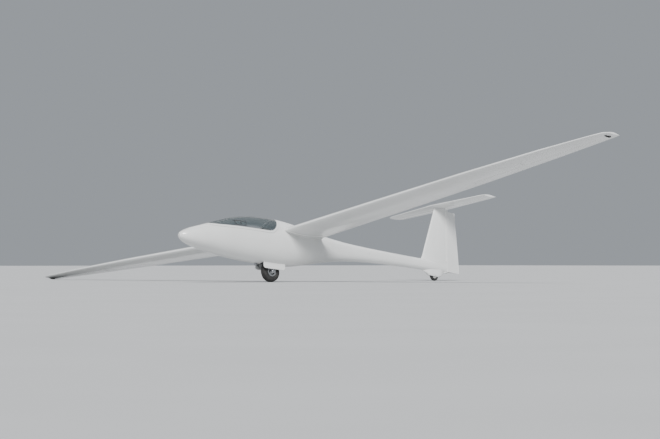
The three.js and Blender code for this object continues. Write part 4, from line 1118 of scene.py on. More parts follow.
def build_tyres():
    grooves = [(place, 3.5, 4.5) for place in (0, 18, 36)]
    rings = [(RIM_R + 11, 1.6, 1.2), *[(RIM_R + out, 1.3, 1) for out in (40, 60, 64)]]
    profile = tyre_profile(RIM_R, TYRE_R, TYRE_HALF, grooves, rings)
    tyre = turned(profile, (0, 0, TYRE_R), (0, 1, 0), 120, closed=True)
    piece("main_tyre_tread", tyre, "tyre_rubber", "tyre_rubber", "main_tyre", body="main_wheel")
    t = TAIL_WHEEL
    rings = [(t["rim"] + out, 1, 0.8) for out in (8, 24)]
    profile = tyre_profile(t["rim"], t["r"], t["half"], [(8, 2.5, 2)], rings)
    tyre = turned(profile, (t["x"], 0, t["z"]), (0, 1, 0), 96, closed=True)
    piece("tail_tyre_tread", tyre, "tyre_rubber", "tyre_rubber", "tail_tyre", body="tail_wheel")


def on_ring(x, y, z, radius, angle):
    """A place on a ring about a wheel's axis."""
    return (x + radius * math.cos(angle), y, z + radius * math.sin(angle))


def hub_disc(half, x, z, sides, holes):
    """A hub from the profile of its left half. Holes are (how many, ring radius, radius, sides, reach)."""
    disc_of_hub = turned(half + [(-y, r) for y, r in half[::-1]], (x, 0, z), (0, 1, 0), sides, closed=True)
    count, ring, r, hole_sides, reach = holes
    places = [on_ring(x, 0, z, ring, angle) for angle in np.arange(count) * 2 * math.pi / count]
    bars = [cross_bar(hole_x, hole_z, reach, r, hole_sides) for hole_x, _, hole_z in places]
    return cut(disc_of_hub, merged(*bars))


def build_main_hub():
    half = [
        (46, AXLE_R + PIN_GAP), (46, 27), (44, 30), (30, 31.5), (13, 34), (10.5, 37), (9.5, 46), (10.5, 57),
        (13, 60), (30, 61), (43, 63), (49, 68), (52, 80), (52, RIM_R + 6.5), (51, RIM_R + 7.5),
        (49.4, RIM_R + 7), (48.6, RIM_R + 2), (46.6, RIM_R - SEAT_GAP),
    ]
    hub = hub_disc(half, 0, TYRE_R, 96, (6, 46, 8, 28, 20))
    piece("main_hub_rim", hub, "alloy", "alloy", "main_hub", body="main_wheel")
    bolt_ring, face, valve_angle = 46.24, 10.3, 1.9
    bolts = []
    for k in range(6):
        for _, side in SIDES:
            place = on_ring(0, side * face, TYRE_R, bolt_ring, (k + 0.5) * math.pi / 3)
            bolts.append(hexagon(place, (0, side, 0), 6, 5))
    valve = [on_ring(0, y, TYRE_R, ring, valve_angle) for y, ring in ((40, 64), (50, 60), (56, 56))]
    metal = merged(*bolts, tube(valve, 3.4, 12, 14))
    piece("main_hub_bolts", metal, "grey_steel", "bright_steel", body="main_wheel")


def build_tail_hub():
    t = TAIL_WHEEL
    half = [
        (18, t["axle"] + PIN_GAP), (18, 17), (16.5, 20), (8, 22), (6, 24), (5.4, 30), (6, 36), (8, 39),
        (14.5, 41), (16, 43), (16, t["rim"] - SEAT_GAP),
    ]
    hub = hub_disc(half, t["x"], t["z"], 72, (5, 30, 4, 20, 12))
    piece("tail_hub_rim", hub, "alloy", "hub_nylon", "tail_hub", body="tail_wheel")


# Undercarriage

def build_main_axle():
    """The main axle, with a nut and a washer outside each leg."""
    end = 94
    axle = pin((0, -end, TYRE_R), (0, 1, 0), 2 * end, AXLE_R, 1.2, 40)
    piece("main_axle_pin", axle, "grey_steel", "bright_steel", "main_axle")
    nuts = []
    for _, side in SIDES:
        way = (0, side, 0)
        washer = disc((0, side * 86.4, TYRE_R), way, 0, 2, 19, 40)
        nut = hexagon((0, side * 88.6, TYRE_R), way, 18, 4.6)
        for ring in (washer, nut):
            nuts.append(cut(ring, bar((0, side * 80, TYRE_R), (0, side * 100, TYRE_R), AXLE_R + 0.1)))
    piece("main_axle_nuts", merged(*nuts), "grey_steel", "bright_steel")


def build_fork():
    """The main wheel's frame: two legs with windows, two braces and two cross bars."""
    wall_in = BAY["half"] - SEAT_GAP
    top_x, top_z, brace_x, brace_z = -70, 470, -30, 320
    far_x, leg_half, boss_half = 205, 6, 11
    outline = [(-22, TYRE_R), (-40, 300), (top_x - 24, top_z), (top_x + 24, top_z), (12, 300), (22, TYRE_R)]
    parts = []
    for _, side in SIDES:
        y = side * LEG_Y
        y0, y1 = y - leg_half, y + leg_half
        leg = softened(slab(outline, y0, y1), 2.5, 3)
        eye = softened(bar((0, y0, TYRE_R), (0, y1, TYRE_R), 30), 1.6)
        windows = []
        for z, r in ((262, 11), (326, 11), (392, 12)):
            x = (z - TYRE_R) * top_x / (top_z - TYRE_R)
            windows.append(bar((x, y0 - 5, z), (x, y1 + 5, z), r, 32))
        parts.append(cut(join(leg, eye), *windows))
        parts.append(tube([(brace_x, y, brace_z), (far_x, y, top_z)], 9, 2, 28, smooth=False))
        for x, z in ((brace_x, brace_z), (far_x, top_z)):
            ends = [(x, side * (LEG_Y + out), z) for out in (-boss_half, boss_half)]
            parts.append(softened(bar(*ends, 14, 36), 1.2))
    parts += [cross_bar(top_x, top_z, wall_in, 17), cross_bar(far_x, top_z, wall_in, 11)]
    fork = cut(join(*parts), cross_bar(0, TYRE_R, 120, AXLE_R + PIN_GAP))
    piece("gear_fork_frame", fork, "grey_steel", "painted_steel", "gear_fork", smooth=30)


def build_bay():
    """The box round the main wheel, with ribs under its roof."""
    half, length, wall, top = BAY["half"], BAY["length"], BAY["wall"], BAY["top"]
    outer = box(-length - wall, length + wall, -half - wall, half + wall, BAY["low"], top + wall)
    bay = cut(outer, box(-length, length, -half, half, 100, top))
    common(bay, hull(NOSE_BULKHEAD + 400, REAR_BULKHEAD, 60, HULL_WALL + SEAT_GAP))
    ribs = range(-160, 161, 80)
    join(bay, *[box(x - 3, x + 3, -half + 0.1, half - 0.1, top - 14, top + 0.5) for x in ribs])
    piece("wheel_bay_box", bay, "grey_trim", "bay_paint", "wheel_bay")


def build_door(side, sign):
    """An open gear door: a bowed panel with a rounded lower edge, a stiffening frame and two hinges."""
    length, half, thick = BAY["length"] - 4, BAY["half"], DOOR["thick"]
    low, high, plain = DOOR["low"], DOOR["high"], 0.82
    rings = []
    for x in np.linspace(-length, length, 41):
        lift = DOOR["corner"] * max(abs(x) / length - plain, 0) ** 2 / (1 - plain) ** 2
        heights = high + (low + lift - high) * np.linspace(0, 1, 14)
        down = 1 - (heights - low) / (high - low)
        bow = DOOR["bow"] * np.sin(math.pi * np.clip(down, 0, 1))
        out = half + 1 + DOOR["splay"] * down + bow
        outer = [(x, sign * (y + thick), z) for y, z in zip(out, heights)]
        inner = [(x, sign * y, z) for y, z in zip(out[::-1], heights[::-1])]
        rings.append(outer + inner)
    panel = cut(softened(loft(rings), 1.2, 2, 50), hull(1500, 2600, 80, -SEAT_GAP))
    white_skin(f"gear_door_panel_{side}", panel, f"gear_door_{side}")

    ribs = []
    for x in (-210, -105, 0, 105, 210):
        inner = [(x + dx, sign * (half + 9), z) for dx, z in rectangle(-7, 7, 292, 238)]
        corners = zip(rectangle(-7, 7, 298, 232), (15.5, 15.5, 15, 15))
        outer = [(x + dx, sign * (half + out), z) for (dx, z), out in corners]
        ribs.append(softened(loft([inner, outer]), 1))
    piece(f"gear_door_ribs_{side}", merged(*ribs), "white_gelcoat", "cabin_paint")

    hinges = []
    for x in (-180, 180):
        ends = [(x + dx, sign * (half + 9.5), 306) for dx in (-22, 22)]
        hinges.append(tube(ends, 4.2, 2, smooth=False))
        walls = sorted((sign * (half + 6), sign * (half + 15.2)))
        hinges.append(rounded_box(x - 12, x + 12, *walls, 268, 303, 1.5))
    piece(f"gear_door_hinges_{side}", merged(*hinges), "grey_steel", "bright_steel")


def build_tow_hook():
    """The tow hook: two cheeks, a beak that holds the ring, and the block and pin between them."""
    cheek = [(300, 268), (306, 262), (346, 262), (352, 268), (352, 360), (300, 360)]
    cheeks = [softened(slab(cheek, y, y + 4), 1) for y in (-15, 11)]
    outline = [
        (312, 300), (346, 298), (349, 280), (338, 265), (316, 268), (312, 274), (326, 277), (332, 284),
        (326, 290), (312, 288),
    ]
    beak = softened(slab(rounded(outline), -7, 7), 1.2)
    cross_pin = pin((326, -22, 282), (0, 1, 0), 44, 9, 1, 32)
    hook = join(rounded_box(304, 348, -11, 11, 300, 358, 2), *cheeks, cross_pin)
    cut(hook, hull(1200, 2400, 60, -SEAT_GAP))
    piece("tow_hook", hook, "grey_steel", "bright_steel", "tow_release")
    piece("tow_beak", beak, "grey_steel", "bright_steel")


def build_tail_fairing():
    """The fairing round the tail wheel, and the wheel's axle."""
    x, z, slot, axle = (TAIL_WHEEL[name] for name in ("x", "z", "slot", "axle"))
    # Sections: distance ahead of the fairing's tail, half width, lowest place
    rows = [(0, 12, 630), (70, 40, 566), (170, 50, 530), (340, 48, 538), (440, 34, 585), (540, 8, 630)]
    places = np.linspace(0, rows[-1][0], 56)
    wide, low = (curve_through(rows, column, places, scale=lambda v: v) for column in (1, 2))
    level, above = 690, 20
    angles = around(64)

    def square(v):
        return np.sign(v) * np.sqrt(abs(v))

    rings = []
    for place, half, bottom in zip(places + x - 240, wide, low):
        up = level + np.where(np.sin(angles) > 0, above, level - bottom) * square(np.sin(angles))
        rings.append([(place, y, h) for y, h in zip(half * square(np.cos(angles)), up)])
    fairing = cut(
        loft(rings),
        hull(4800, TAIL_END, 60, -SEAT_GAP),
        box(x - 125, x + 125, -slot, slot, 400, 800),
        cross_bar(x, z, 60, axle + PIN_GAP),
    )
    white_skin("tail_fairing", fairing, "tail_wheel_fairing")
    axle_half = 41
    axle_pin = pin((x, -axle_half, z), (0, 1, 0), 2 * axle_half, axle, 0.8, 32)
    piece("tail_axle_pin", axle_pin, "grey_steel", "bright_steel", "tail_axle")


# Tip skids and probe

SKID_SHARES = np.linspace(0, 1, 15)[1:-1]


def build_tip_skid(side, sign):
    """The rubber skid under a wing tip."""
    y, x, length, width, depth, inside = 7400, -540, 150, 16, 22, 12
    middle, half = wing_surface(y, x)
    under = middle - half
    front, rear = x + length / 2, x - length / 2
    low = [(rear + length * s, under - depth * math.sin(math.pi * s) ** 0.35) for s in SKID_SHARES]
    low = [(rear, under), *low, (front, under)]
    outline = [(rear, under + inside), *low, (front, under + inside)]
    skid = softened(slab(outline, y - width / 2, y + width / 2), 3, 3)
    panel = loft([wing_ring(v) for v in (7200, 7310, 7420, 7510)])
    lowered = moved(copy(panel), Matrix.Translation((0, 0, -SEAT_GAP)))
    cut(skid, panel, lowered)
    shoe = moved(skid, wing_place(sign))
    piece(f"tip_skid_shoe_{side}", shoe, "skid_rubber", "seal_rubber", f"tip_skid_{side}")


def build_probe():
    """The probe on the fin: a rod that bends up at its end, with two collars."""
    z, gap, length = 1560, 2.4, 210
    foot = straight(FIN["rows"], 1, z) + gap
    tip = foot + length
    line = [(foot, 0, z), (foot + 110, 0, z + 3), (tip - 6, 0, z + 6)]
    line += [(tip + 12, 0, z + 16), (tip + 38, 0, z + 40)]
    radii = np.interp(np.linspace(0, 1, 60), [0, 0.05, 0.1, 0.75, 1], [6.5, 6.5, 5, 4.2, 4])
    collar = [(0, 4.6), (0.6, 5.4), (5, 5.4), (5.6, 4.6)]
    collars = [turned(collar, (foot + at, 0, z + at * 0.03), (1, 0, 0.03), 24) for at in (24, 60)]
    piece("fin_probe_rod", join(tube(line, radii, 60), *collars), "grey_steel", "bright_steel", "fin_probe")


# Tapes and seals

def root_tape():
    """A thin band round the wing, over the joint with its stump."""
    out, sink = 0.6, -0.4
    start, end = WING_ROOT - 14, WING_ROOT + 16
    loops = []
    for y, off in ((start, out), (end, out), (end, sink), (start, sink)):
        outline = [(x, z) for x, _, z in wing_ring(y)]
        loops.append([(x, y, z) for x, z in offset_loop(outline, off)])
    return hoop(loops)


def seal_strip(hinge_at, surface_at, start, end, side, lay):
    """A thin strip of tape along the edge ahead of a hinge line, on the upper (1) or lower (-1) side."""
    rings = []
    for y in np.linspace(start, end, 24):
        edge = math.sqrt(2 * RUN_GAP * surface_at(y, hinge_at(y))[1] + RUN_GAP**2)
        line = []
        for x in hinge_at(y) + np.linspace(edge + 0.5, 56, 8):
            middle, half = surface_at(y, x)
            line.append((x, middle + side * half))
        outer = [(x, z + side * 0.55) for x, z in line]
        inner = [(x, z - side * 0.4) for x, z in line[::-1]]
        rings.append([lay(x, y, z) for x, z in outer + inner])
    return loft(rings)


def seal_pair(hinge_at, surface_at, start, end, lay):
    return [seal_strip(hinge_at, surface_at, start, end, side, lay) for side in (1, -1)]


def tape(name, obj):
    return piece(name, obj, "white_gelcoat", "seam_tape")


def build_seals():
    """The tapes over the joints and hinge lines, and the rubber along the canopy's sill."""
    for side, sign in SIDES:
        place = wing_place(sign)
        tape(f"root_tape_{side}", moved(root_tape(), place))
        strips = seal_pair(
            aileron_hinge, wing_surface, AILERON["from"] + 14, AILERON["to"] - 14, lambda x, y, z: (x, y, z)
        )
        tape(f"aileron_seal_{side}", moved(merged(*strips), place))
    half = ELEVATOR["half"] - 12
    strips = seal_pair(
        lambda y: ELEVATOR["hinge"],
        lambda y, x: (0, tail_half(TAILPLANE, y, x)),
        -half,
        half,
        lambda x, y, z: (x, y, TAILPLANE_Z + z),
    )
    cut(strips[1], box(-4560, -4200, -60, 60, TAILPLANE_Z - 80, TAILPLANE_Z))
    tape("elevator_seal", merged(*strips))
    strips = seal_pair(
        rudder_hinge, lambda z, x: (0, tail_half(FIN, z, x)), 862, 1815, lambda x, z, y: (x, y, z)
    )
    tape("rudder_seal", merged(*strips))
    band = cut(above_sill(-22), above_sill(-4))
    trim = common(skin(*CANOPY_SPAN, HULL_WALL + 0.3, 17), band)
    piece("sill_trim", trim, "skid_rubber", "seal_rubber")


# Small fittings

WINDOW = {"x": 868, "z": 908, "half_long": 107, "half_high": 41, "span": (900, 1450)}
WINDOW_RAILS = {"rear": 720, "front": 1012, "half": 4, "heights": (862, 955), "span": (880, 1480)}


def skin_patch(outline, out, sink, start, end):
    """A plate that lies on the fuselage's left side, from `sink` under its skin to `out` above it."""
    return common(skin(start, end, -out, sink, (60, 64)), slab(outline, 30, 700))


def build_window():
    """The clear-view window on the canopy's left side, its edge, rails and finger knob."""
    x, z, span, rail = WINDOW["x"], WINDOW["z"], WINDOW["span"], WINDOW_RAILS
    outline = pad_outline(WINDOW["half_long"], WINDOW["half_high"], 64, 0.5) + (x + 3, z)
    pane = skin_patch(outline, 3.4, -0.6, *span)
    piece("window_pane", pane, "canopy_clear", "canopy_clear", body="canopy", smooth=40)
    edge = skin_patch(offset_loop(outline, 4), 4.4, -0.3, *span)
    cut(edge, slab(offset_loop(outline, -5), 30, 700))
    piece("window_edge", edge, "grey_trim", "dark_plastic", body="canopy", smooth=40)
    rails = []
    for up in rail["heights"]:
        bounds = rectangle(rail["rear"], rail["front"], up - rail["half"], up + rail["half"])
        rails.append(skin_patch(rounded(bounds, 1), 4.6, -0.3, *rail["span"]))
    piece("window_rails", merged(*rails), "grey_trim", "dark_plastic", body="canopy")
    profile = [(0, 0), (0, 16), (2, 18), (5, 17), (5, 12), (2.5, 10), (2.5, 0)]
    knob = turned(profile, (x, hull_side(x, z) + 3, z), (0, 1, 0.55), 32)
    piece("window_knob", knob, "grey_trim", "dark_plastic", body="canopy")


def build_latch():
    """The canopy's latch, inside its frame's left side."""
    y, z = hull_side(430, 826, FRAME_WALL) - 1, 823
    lever = tube([(440, y - 6, z), (420, y - 26, z), (380, y - 32, z), (340, y - 32, z)], [5] * 20 + [7] * 12)
    latch = merged(rounded_box(400, 470, y - 9, y, 812, 834, 2.5), lever)
    piece("canopy_latch", latch, "grey_steel", "red_plastic", body="canopy")


def build_ports():
    """The lip of the nose vent and the static ports on the tail boom."""
    r = VENT["r"]
    lip = [(0, r + 0.4), (1.4, r + 2.5), (-1.5, r + 5), (-14, r + 4), (-14, r + 0.4)]
    lip = turned(lip, (NOSE_X - 3.5, 0, NOSE_Z), (1, 0, 0), closed=True)
    piece("nose_vent", lip, "alloy", "alloy")
    x, z = -2300, 752
    port = [(-1, 0), (-1, 8), (0.3, 8), (0.7, 7), (0.7, 2), (-0.4, 2), (-0.4, 0)]
    ports = [turned(port, (x, side * hull_side(x, z), z), (0, side, 0), 32) for _, side in SIDES]
    piece("static_ports", merged(*ports), "alloy", "alloy")


def build_pushrod_fairing(side, sign):
    """A drop-shaped fairing over an aileron's pushrod, under the wing."""
    y, front, length, wide, deep, sunk = 5600, -450, 175, 14, 15, 1.5
    angles = around(24)
    rings = []
    for s in np.linspace(0.02, 0.98, 24):
        size = 1.9 * math.sqrt(s) * (1 - s) ** 0.8
        x = front - length * s
        middle, half = wing_surface(y, x)
        ups = middle - half + sunk + np.where(np.sin(angles) > 0, sunk, deep * size) * np.sin(angles)
        rings.append([(x, y + wide * size * math.cos(a), up) for a, up in zip(angles, ups)])
    white_skin(f"pushrod_fairing_{side}", moved(loft(rings), wing_place(sign)))


# Seat

def seat_path():
    """The seat's side line as evenly spaced (x, z) points, its directions and its lengths."""
    foot, head = (np.array(point) for point in SEAT_LINE[-2:])
    back = [tuple(foot + (head - foot) * share) for share in (0.12, 0.3, 0.6, 0.85)]
    line = smooth_line([*SEAT_LINE[:-1], *back, tuple(head)], 500)
    ways = np.gradient(line, axis=0)
    ways /= np.linalg.norm(ways, axis=1)[:, None]
    return line, ways, lengths_along(line)


SEAT_PATH, SEAT_WAYS, SEAT_LENGTHS = seat_path()
# The seat shell: half width, half width of its flat middle, and how far its sides rise
PAN = {"half": 245, "flat": 178, "rise": 46}
PAN_TOP = SEAT_THICK / 2
SOFT_FROM = PAN_TOP + 0.8
STRAP_SLOT = {"share": 0.822, "y": 92, "half_long": 9, "half_wide": 27}


def seat_u(x, z):
    """How far along the seat a place in side view is."""
    return float(SEAT_LENGTHS[np.argmin(np.linalg.norm(SEAT_PATH - (x, z), axis=1))])


def back_u(share):
    """How far along the seat a share of the way up its straight back is."""
    (x0, z0), (x1, z1) = SEAT_LINE[-2:]
    return seat_u(x0 + (x1 - x0) * share, z0 + (z1 - z0) * share)


def laid_on_seat(obj):
    """Bends an object drawn as (along the seat, across it, out of it) onto the seat."""
    u, y, n = vertices_of(obj).T
    x, z, wx, wz = (np.interp(u, SEAT_LENGTHS, column) for column in (*SEAT_PATH.T, *SEAT_WAYS.T))
    put_vertices(obj, np.stack([x + wz * n, y, z - wx * n], axis=-1))
    return outward(obj)


def build_seat():
    """The seat shell with its two slots for the shoulder straps."""
    outs = np.linspace(-PAN["half"], PAN["half"], 61)
    rise = PAN["rise"] * np.clip((abs(outs) - PAN["flat"]) / (PAN["half"] - PAN["flat"]), 0, 1) ** 1.6
    rings = []
    for u in SEAT_LENGTHS[::5]:
        top = [(u, y, PAN_TOP + r) for y, r in zip(outs, rise)]
        bottom = [(u, y, r - PAN_TOP) for y, r in zip(outs[::-1], rise[::-1])]
        rings.append(top + bottom)
    slots = [(back_u(STRAP_SLOT["share"]), sign * STRAP_SLOT["y"]) for _, sign in SIDES]
    long, wide = STRAP_SLOT["half_long"], STRAP_SLOT["half_wide"]
    openings = [laid_on_seat(box(u - long, u + long, y - wide, y + wide, -20, 20)) for u, y in slots]
    pan = common(cut(laid_on_seat(loft(rings)), *openings), cabin())
    piece("seat_bucket", pan, "grey_trim", "seat_shell", "seat_pan", smooth=40)
    lips = [laid_on_seat(slot_lip(u, y)) for u, y in slots]
    piece("strap_slots", merged(*lips), "grey_trim", "dark_plastic")


def slot_lip(u, y):
    """A low rim round a slot, with one loop of points for each point of its outline."""
    loops = []
    long, wide = STRAP_SLOT["half_long"] + 3, STRAP_SLOT["half_wide"] + 3
    for du, dy in rounded(rectangle(-long, long, -wide, wide)):
        outer, inner = (u + du, y + dy), (u + du * 0.72, y + dy * 0.88)
        outside = [(*outer, PAN_TOP - 0.3), (*outer, PAN_TOP + 1)]
        loops.append([*outside, (*inner, PAN_TOP + 1.6), (*inner, PAN_TOP - 0.3)])
    return hoop(loops)


# Pads: the node, first and last place along the seat, half width, thickness, how far the cover may swell, and
# the seams: shares of the length, how far in these end, places across, how far in those end
PADS = {
    "seat_pad": (
        "seat_cushion", seat_u(*SEAT_LINE[1]), seat_u(*SEAT_LINE[3]), 150, 28, 8,
        (0.28, 0.5, 0.72), 34, (-112, 112), 14,
    ),
    "back_pad": (
        "back_cushion", back_u(0.1), back_u(0.8), 165, 34, 9,
        (0.16, 0.33, 0.5, 0.67, 0.84), 42, (-122, 122), 16,
    ),
    "head_pad": ("headrest", back_u(0.84), back_u(1), 85, 46, 10, (0.5,), 15, (), 0),
}
SWELL_STEPS = 20
PAD_ROOM = 2


def swollen(pad):
    """Blows a closed form up as a cloth cover under pressure."""
    cloth = pad.modifiers.new("cloth", "CLOTH")
    cloth.settings.use_pressure = True
    cloth.settings.uniform_pressure_force = 4
    cloth.settings.effector_weights.gravity = 0
    cloth.settings.quality = 5
    for step in range(1, SWELL_STEPS + 1):
        bpy.context.scene.frame_set(step)
    settle(pad)
    bpy.context.scene.frame_set(1)


def stuffed(u0, u1, half_y, thick, cap):
    """A stuffed pad in (along the seat, across, out): a smaller closed form blown up as cloth."""
    shrink, low, high = 5, SOFT_FROM + 1, SOFT_FROM + thick - 5
    middle, half_u = (u0 + u1) / 2, (u1 - u0) / 2
    rings = []
    for level, pull in ((low, 7), (low + 3, 2), ((low + high) / 2, 0), (high - 4, 2.5), (high, 9)):
        grow = -shrink - pull
        rings.append([(u, y, level) for u, y in pad_outline(half_u + grow, half_y + grow)])
    pad = moved(loft(rings), Matrix.Scale(MM, 4))
    remesh = pad.modifiers.new("remesh", "REMESH")
    remesh.mode = "VOXEL"
    remesh.voxel_size = 0.006
    settle(pad)
    start = vertices_of(pad)
    swollen(pad)
    way = vertices_of(pad) - start
    far = np.linalg.norm(way, axis=1)
    way *= (np.minimum(far, cap * MM) / np.maximum(far, 1e-9))[:, None]
    places = (start + way) / MM
    for axis, half in ((0, half_u), (1, half_y)):
        places[:, axis] *= (half - PAD_ROOM) / abs(places[:, axis]).max()
    places[:, 0] += middle
    places[:, 2] = np.maximum(places[:, 2], SOFT_FROM)
    smooth = pad.modifiers.new("smooth", "SUBSURF")
    smooth.levels = smooth.render_levels = 1
    put_vertices(pad, places)
    return settle(pad)


def quilted(pad, seams):
    """Presses sewn channels into a pad's upper side. A seam is (axis, place, from, to)."""
    deep, half, fade = 6.5, 8, 12
    places = vertices_of(pad)
    top = places[:, 2].max()
    up = np.clip((places[:, 2] - (SOFT_FROM + top) / 2) / (top - SOFT_FROM) * 3, 0, 1)
    for axis, place, start, end in seams:
        along = places[:, 1 - axis]
        reach = np.clip((along - start) / fade, 0, 1) * np.clip((end - along) / fade, 0, 1)
        places[:, 2] -= deep * np.exp(-(((places[:, axis] - place) / half) ** 2)) * reach * up
    put_vertices(pad, places)


def piping(tree, u0, u1, half_y, level):
    """A cord sewn round a pad's edge at one level."""
    middle, out, r, sides = (u0 + u1) / 2, 30, 2, 10
    line = []
    for u, y in pad_outline((u1 - u0) / 2 + out, half_y + out, 220):
        line.append(tree.ray_cast(Vector((middle + u, y, level)), Vector((-u, -y, 0)).normalized())[0])
    line = np.array(line)
    for _ in range(2):
        line = (np.roll(line, 1, axis=0) + 2 * line + np.roll(line, -1, axis=0)) / 4
    up = Vector((0, 0, 1))
    loops = []
    for point, way in zip(line, np.roll(line, -1, axis=0) - np.roll(line, 1, axis=0)):
        across = Vector(way).normalized().cross(up).normalized()
        loops.append(circle(Vector(point), across, up, r, sides))
    return hoop(loops)


def build_pads():
    """Builds the three pads, and hands back the seat's and the back's surfaces for the straps to lie on."""
    trees = []
    for name, (node, u0, u1, half_y, thick, cap, rows, row_in, columns, column_in) in PADS.items():
        pad = stuffed(u0, u1, half_y, thick, cap)
        tree = tree_of(pad)
        cords = [piping(tree, u0, u1, half_y, SOFT_FROM + thick * level) for level in (0.24, 0.74)]
        seams = [(0, u0 + (u1 - u0) * share, row_in - half_y, half_y - row_in) for share in rows]
        seams += [(1, y, u0 + column_in, u1 - column_in) for y in columns]
        quilted(pad, seams)
        trees.append(tree_of(pad))
        pad = piece(name, laid_on_seat(pad), "grey_cloth", "seat_cloth", node, smooth=80)
        piece(f"{name}_piping", laid_on_seat(merged(*cords)), "grey_cloth", "piping", smooth=80)
    return trees[:2]


# Harness

STRAP_Y = 92.5
LAP_TOP = 138
LAP_ANCHOR = 161
WEB = {"half": 22.5, "thick": 1.7, "edge": 0.35, "lift": 0.7}
WEB_SHARES = np.linspace(-1, 1, 9)


def web_of(rows, along):
    """Woven web as a solid, from rows of points across its underside; `along` is the way the rows follow."""
    way = np.gradient(rows, axis=0)
    length = np.hypot(way[..., along], way[..., 2])
    out = np.zeros_like(rows)
    out[..., along], out[..., 2] = -way[..., 2] / length, way[..., along] / length
    thick = WEB["thick"] + WEB["edge"] * (abs(WEB_SHARES) > 0.8)
    return loft([[*top, *under[::-1]] for top, under in zip(rows + out * thick[:, None], rows)])


def taut(heights):
    """Rows of heights with their hollows bridged, as a strap bridges them."""
    for _ in range(6):
        heights[1:-1] = np.maximum((heights[:-2] + 2 * heights[1:-1] + heights[2:]) / 4, heights[1:-1])
    return heights


def top_of(tree, u, y):
    """The height of a pad over the seat at a place, or None beside it."""
    hit = tree.ray_cast(Vector((u, y, 120)), Vector((0, 0, -1)))[0]
    return hit.z if hit else None


def web_up_back(tree, line):
    """A shoulder strap over the back pad, in seat coordinates. The line is (along, across, least height)."""
    rows = []
    for u, middle, least in line:
        row = []
        for y in middle + WEB_SHARES * WEB["half"]:
            top = top_of(tree, u, y)
            row.append((u, y, least if top is None else max(least, top + WEB["lift"])))
        rows.append(row)
    rows = np.array(rows)
    rows[..., 2] = taut(rows[..., 2])
    return web_of(rows, 0)


def web_round_seat(tree, low):
    """The lap belt round the seat pad, from pan to pan, found by rays from a half circle towards the pad."""
    rows = []
    for angle in math.pi * (1 - np.cos(np.linspace(0, math.pi, 140))) / 2:
        out = Vector((0, -math.cos(angle), math.sin(angle)))
        feet = [Vector((low + share * WEB["half"], 0, SOFT_FROM + 1.5)) for share in WEB_SHARES]
        rows.append([tree.ray_cast(foot + out * 400, -out)[0] + out * WEB["lift"] for foot in feet])
    rows = np.array([rows[0], *rows, rows[-1]])
    rows[[0, -1], :, 2] = PAN_TOP
    top = abs(rows[:, 0, 1]) < LAP_TOP
    rows[top, :, 2] = taut(rows[top, :, 2])
    return web_of(rows, 1)


def buckle(u, y, n, long, wide, thick, slots=()):
    """A flat metal plate with slots for webbing, in seat coordinates, wide across the seat."""
    body = softened(box(-long / 2, long / 2, -wide / 2, wide / 2, 0, thick), 1)
    cut(body, *[box(s - 3, s + 3, -wide / 2 + 5, wide / 2 - 5, -5, thick + 5) for s in slots])
    return moved(body, Matrix.Translation((u, y, n)))


def shoulder_strap(back_tree, side, sign):
    """A strap from low on the back pad up to its slot and down through it. Hands back its two buckles."""
    low, high, bend, slot = (back_u(share) for share in (0.14, 0.77, 0.775, STRAP_SLOT["share"]))
    y, loose, sink, count = sign * STRAP_Y, SOFT_FROM + 30, 30.5, 14
    line = [(u, y, loose) for u in np.linspace(low, high, 90)]
    down = loose - sink * np.linspace(0, 1, count) ** 1.6
    line += [(u, y, n) for u, n in zip(np.linspace(bend, slot, count), down)]
    strap, node = laid_on_seat(web_up_back(back_tree, line)), f"shoulder_strap_{side}"
    piece(f"shoulder_web_{side}", strap, "blue_webbing", "harness_web", node, smooth=50)
    buckles = []
    for share, slots in ((0.3, (-9, 9)), (0.145, (-6,))):
        u = back_u(share)
        buckles.append(buckle(u, y, top_of(back_tree, u, y) + 3.2, 34, 58, 2.4, slots))
    return buckles


def lap_belt(seat_tree):
    """The belt round the seat pad. Hands back its lock, the lock's two tongues, and the anchors."""
    u, out = seat_u(627, 377), (0, 0, 1)
    web = laid_on_seat(web_round_seat(seat_tree, u))
    piece("lap_web", web, "blue_webbing", "harness_web", "lap_belt", smooth=50)
    top = top_of(seat_tree, u, 0) + 3
    hub = [(0, 0), (0, 25), (3, 27), (9, 27), (12, 24), (12, 21), (9.5, 19), (9.5, 0)]
    knob = [(9, 0), (9, 15), (15, 14), (17, 11), (17, 0)]
    metal = [turned(hub, (u, 0, top), out), turned(knob, (u, 0, top), out, 12)]
    metal += [buckle(u, sign * 40, top + 0.5, 40, 34, 2.2) for _, sign in SIDES]
    for _, sign in SIDES:
        metal.append(buckle(u, sign * LAP_ANCHOR, PAN_TOP - 0.2, 34, 20, 2.6))
        metal.append(hexagon((u, sign * LAP_ANCHOR, PAN_TOP + 2), out, 6, 5))
    return metal


def build_harness(seat_tree, back_tree):
    metal = []
    for side, sign in SIDES:
        metal += shoulder_strap(back_tree, side, sign)
    metal += lap_belt(seat_tree)
    piece("harness_metal", laid_on_seat(merged(*metal)), "grey_steel", "bright_steel")


# Instrument panel

PANEL_X = 1130
PANEL_LOW = 660
PANEL_HALF = 190
PANEL_LEFT = [(PANEL_HALF, PANEL_LOW), (PANEL_HALF, 790), (165, 860), (95, 898)]
PANEL_FACE = rounded([(-PANEL_HALF, PANEL_LOW), *PANEL_LEFT, *[(-y, z) for y, z in PANEL_LEFT[:0:-1]]])
TO_PILOT = (-1, 0, 0)
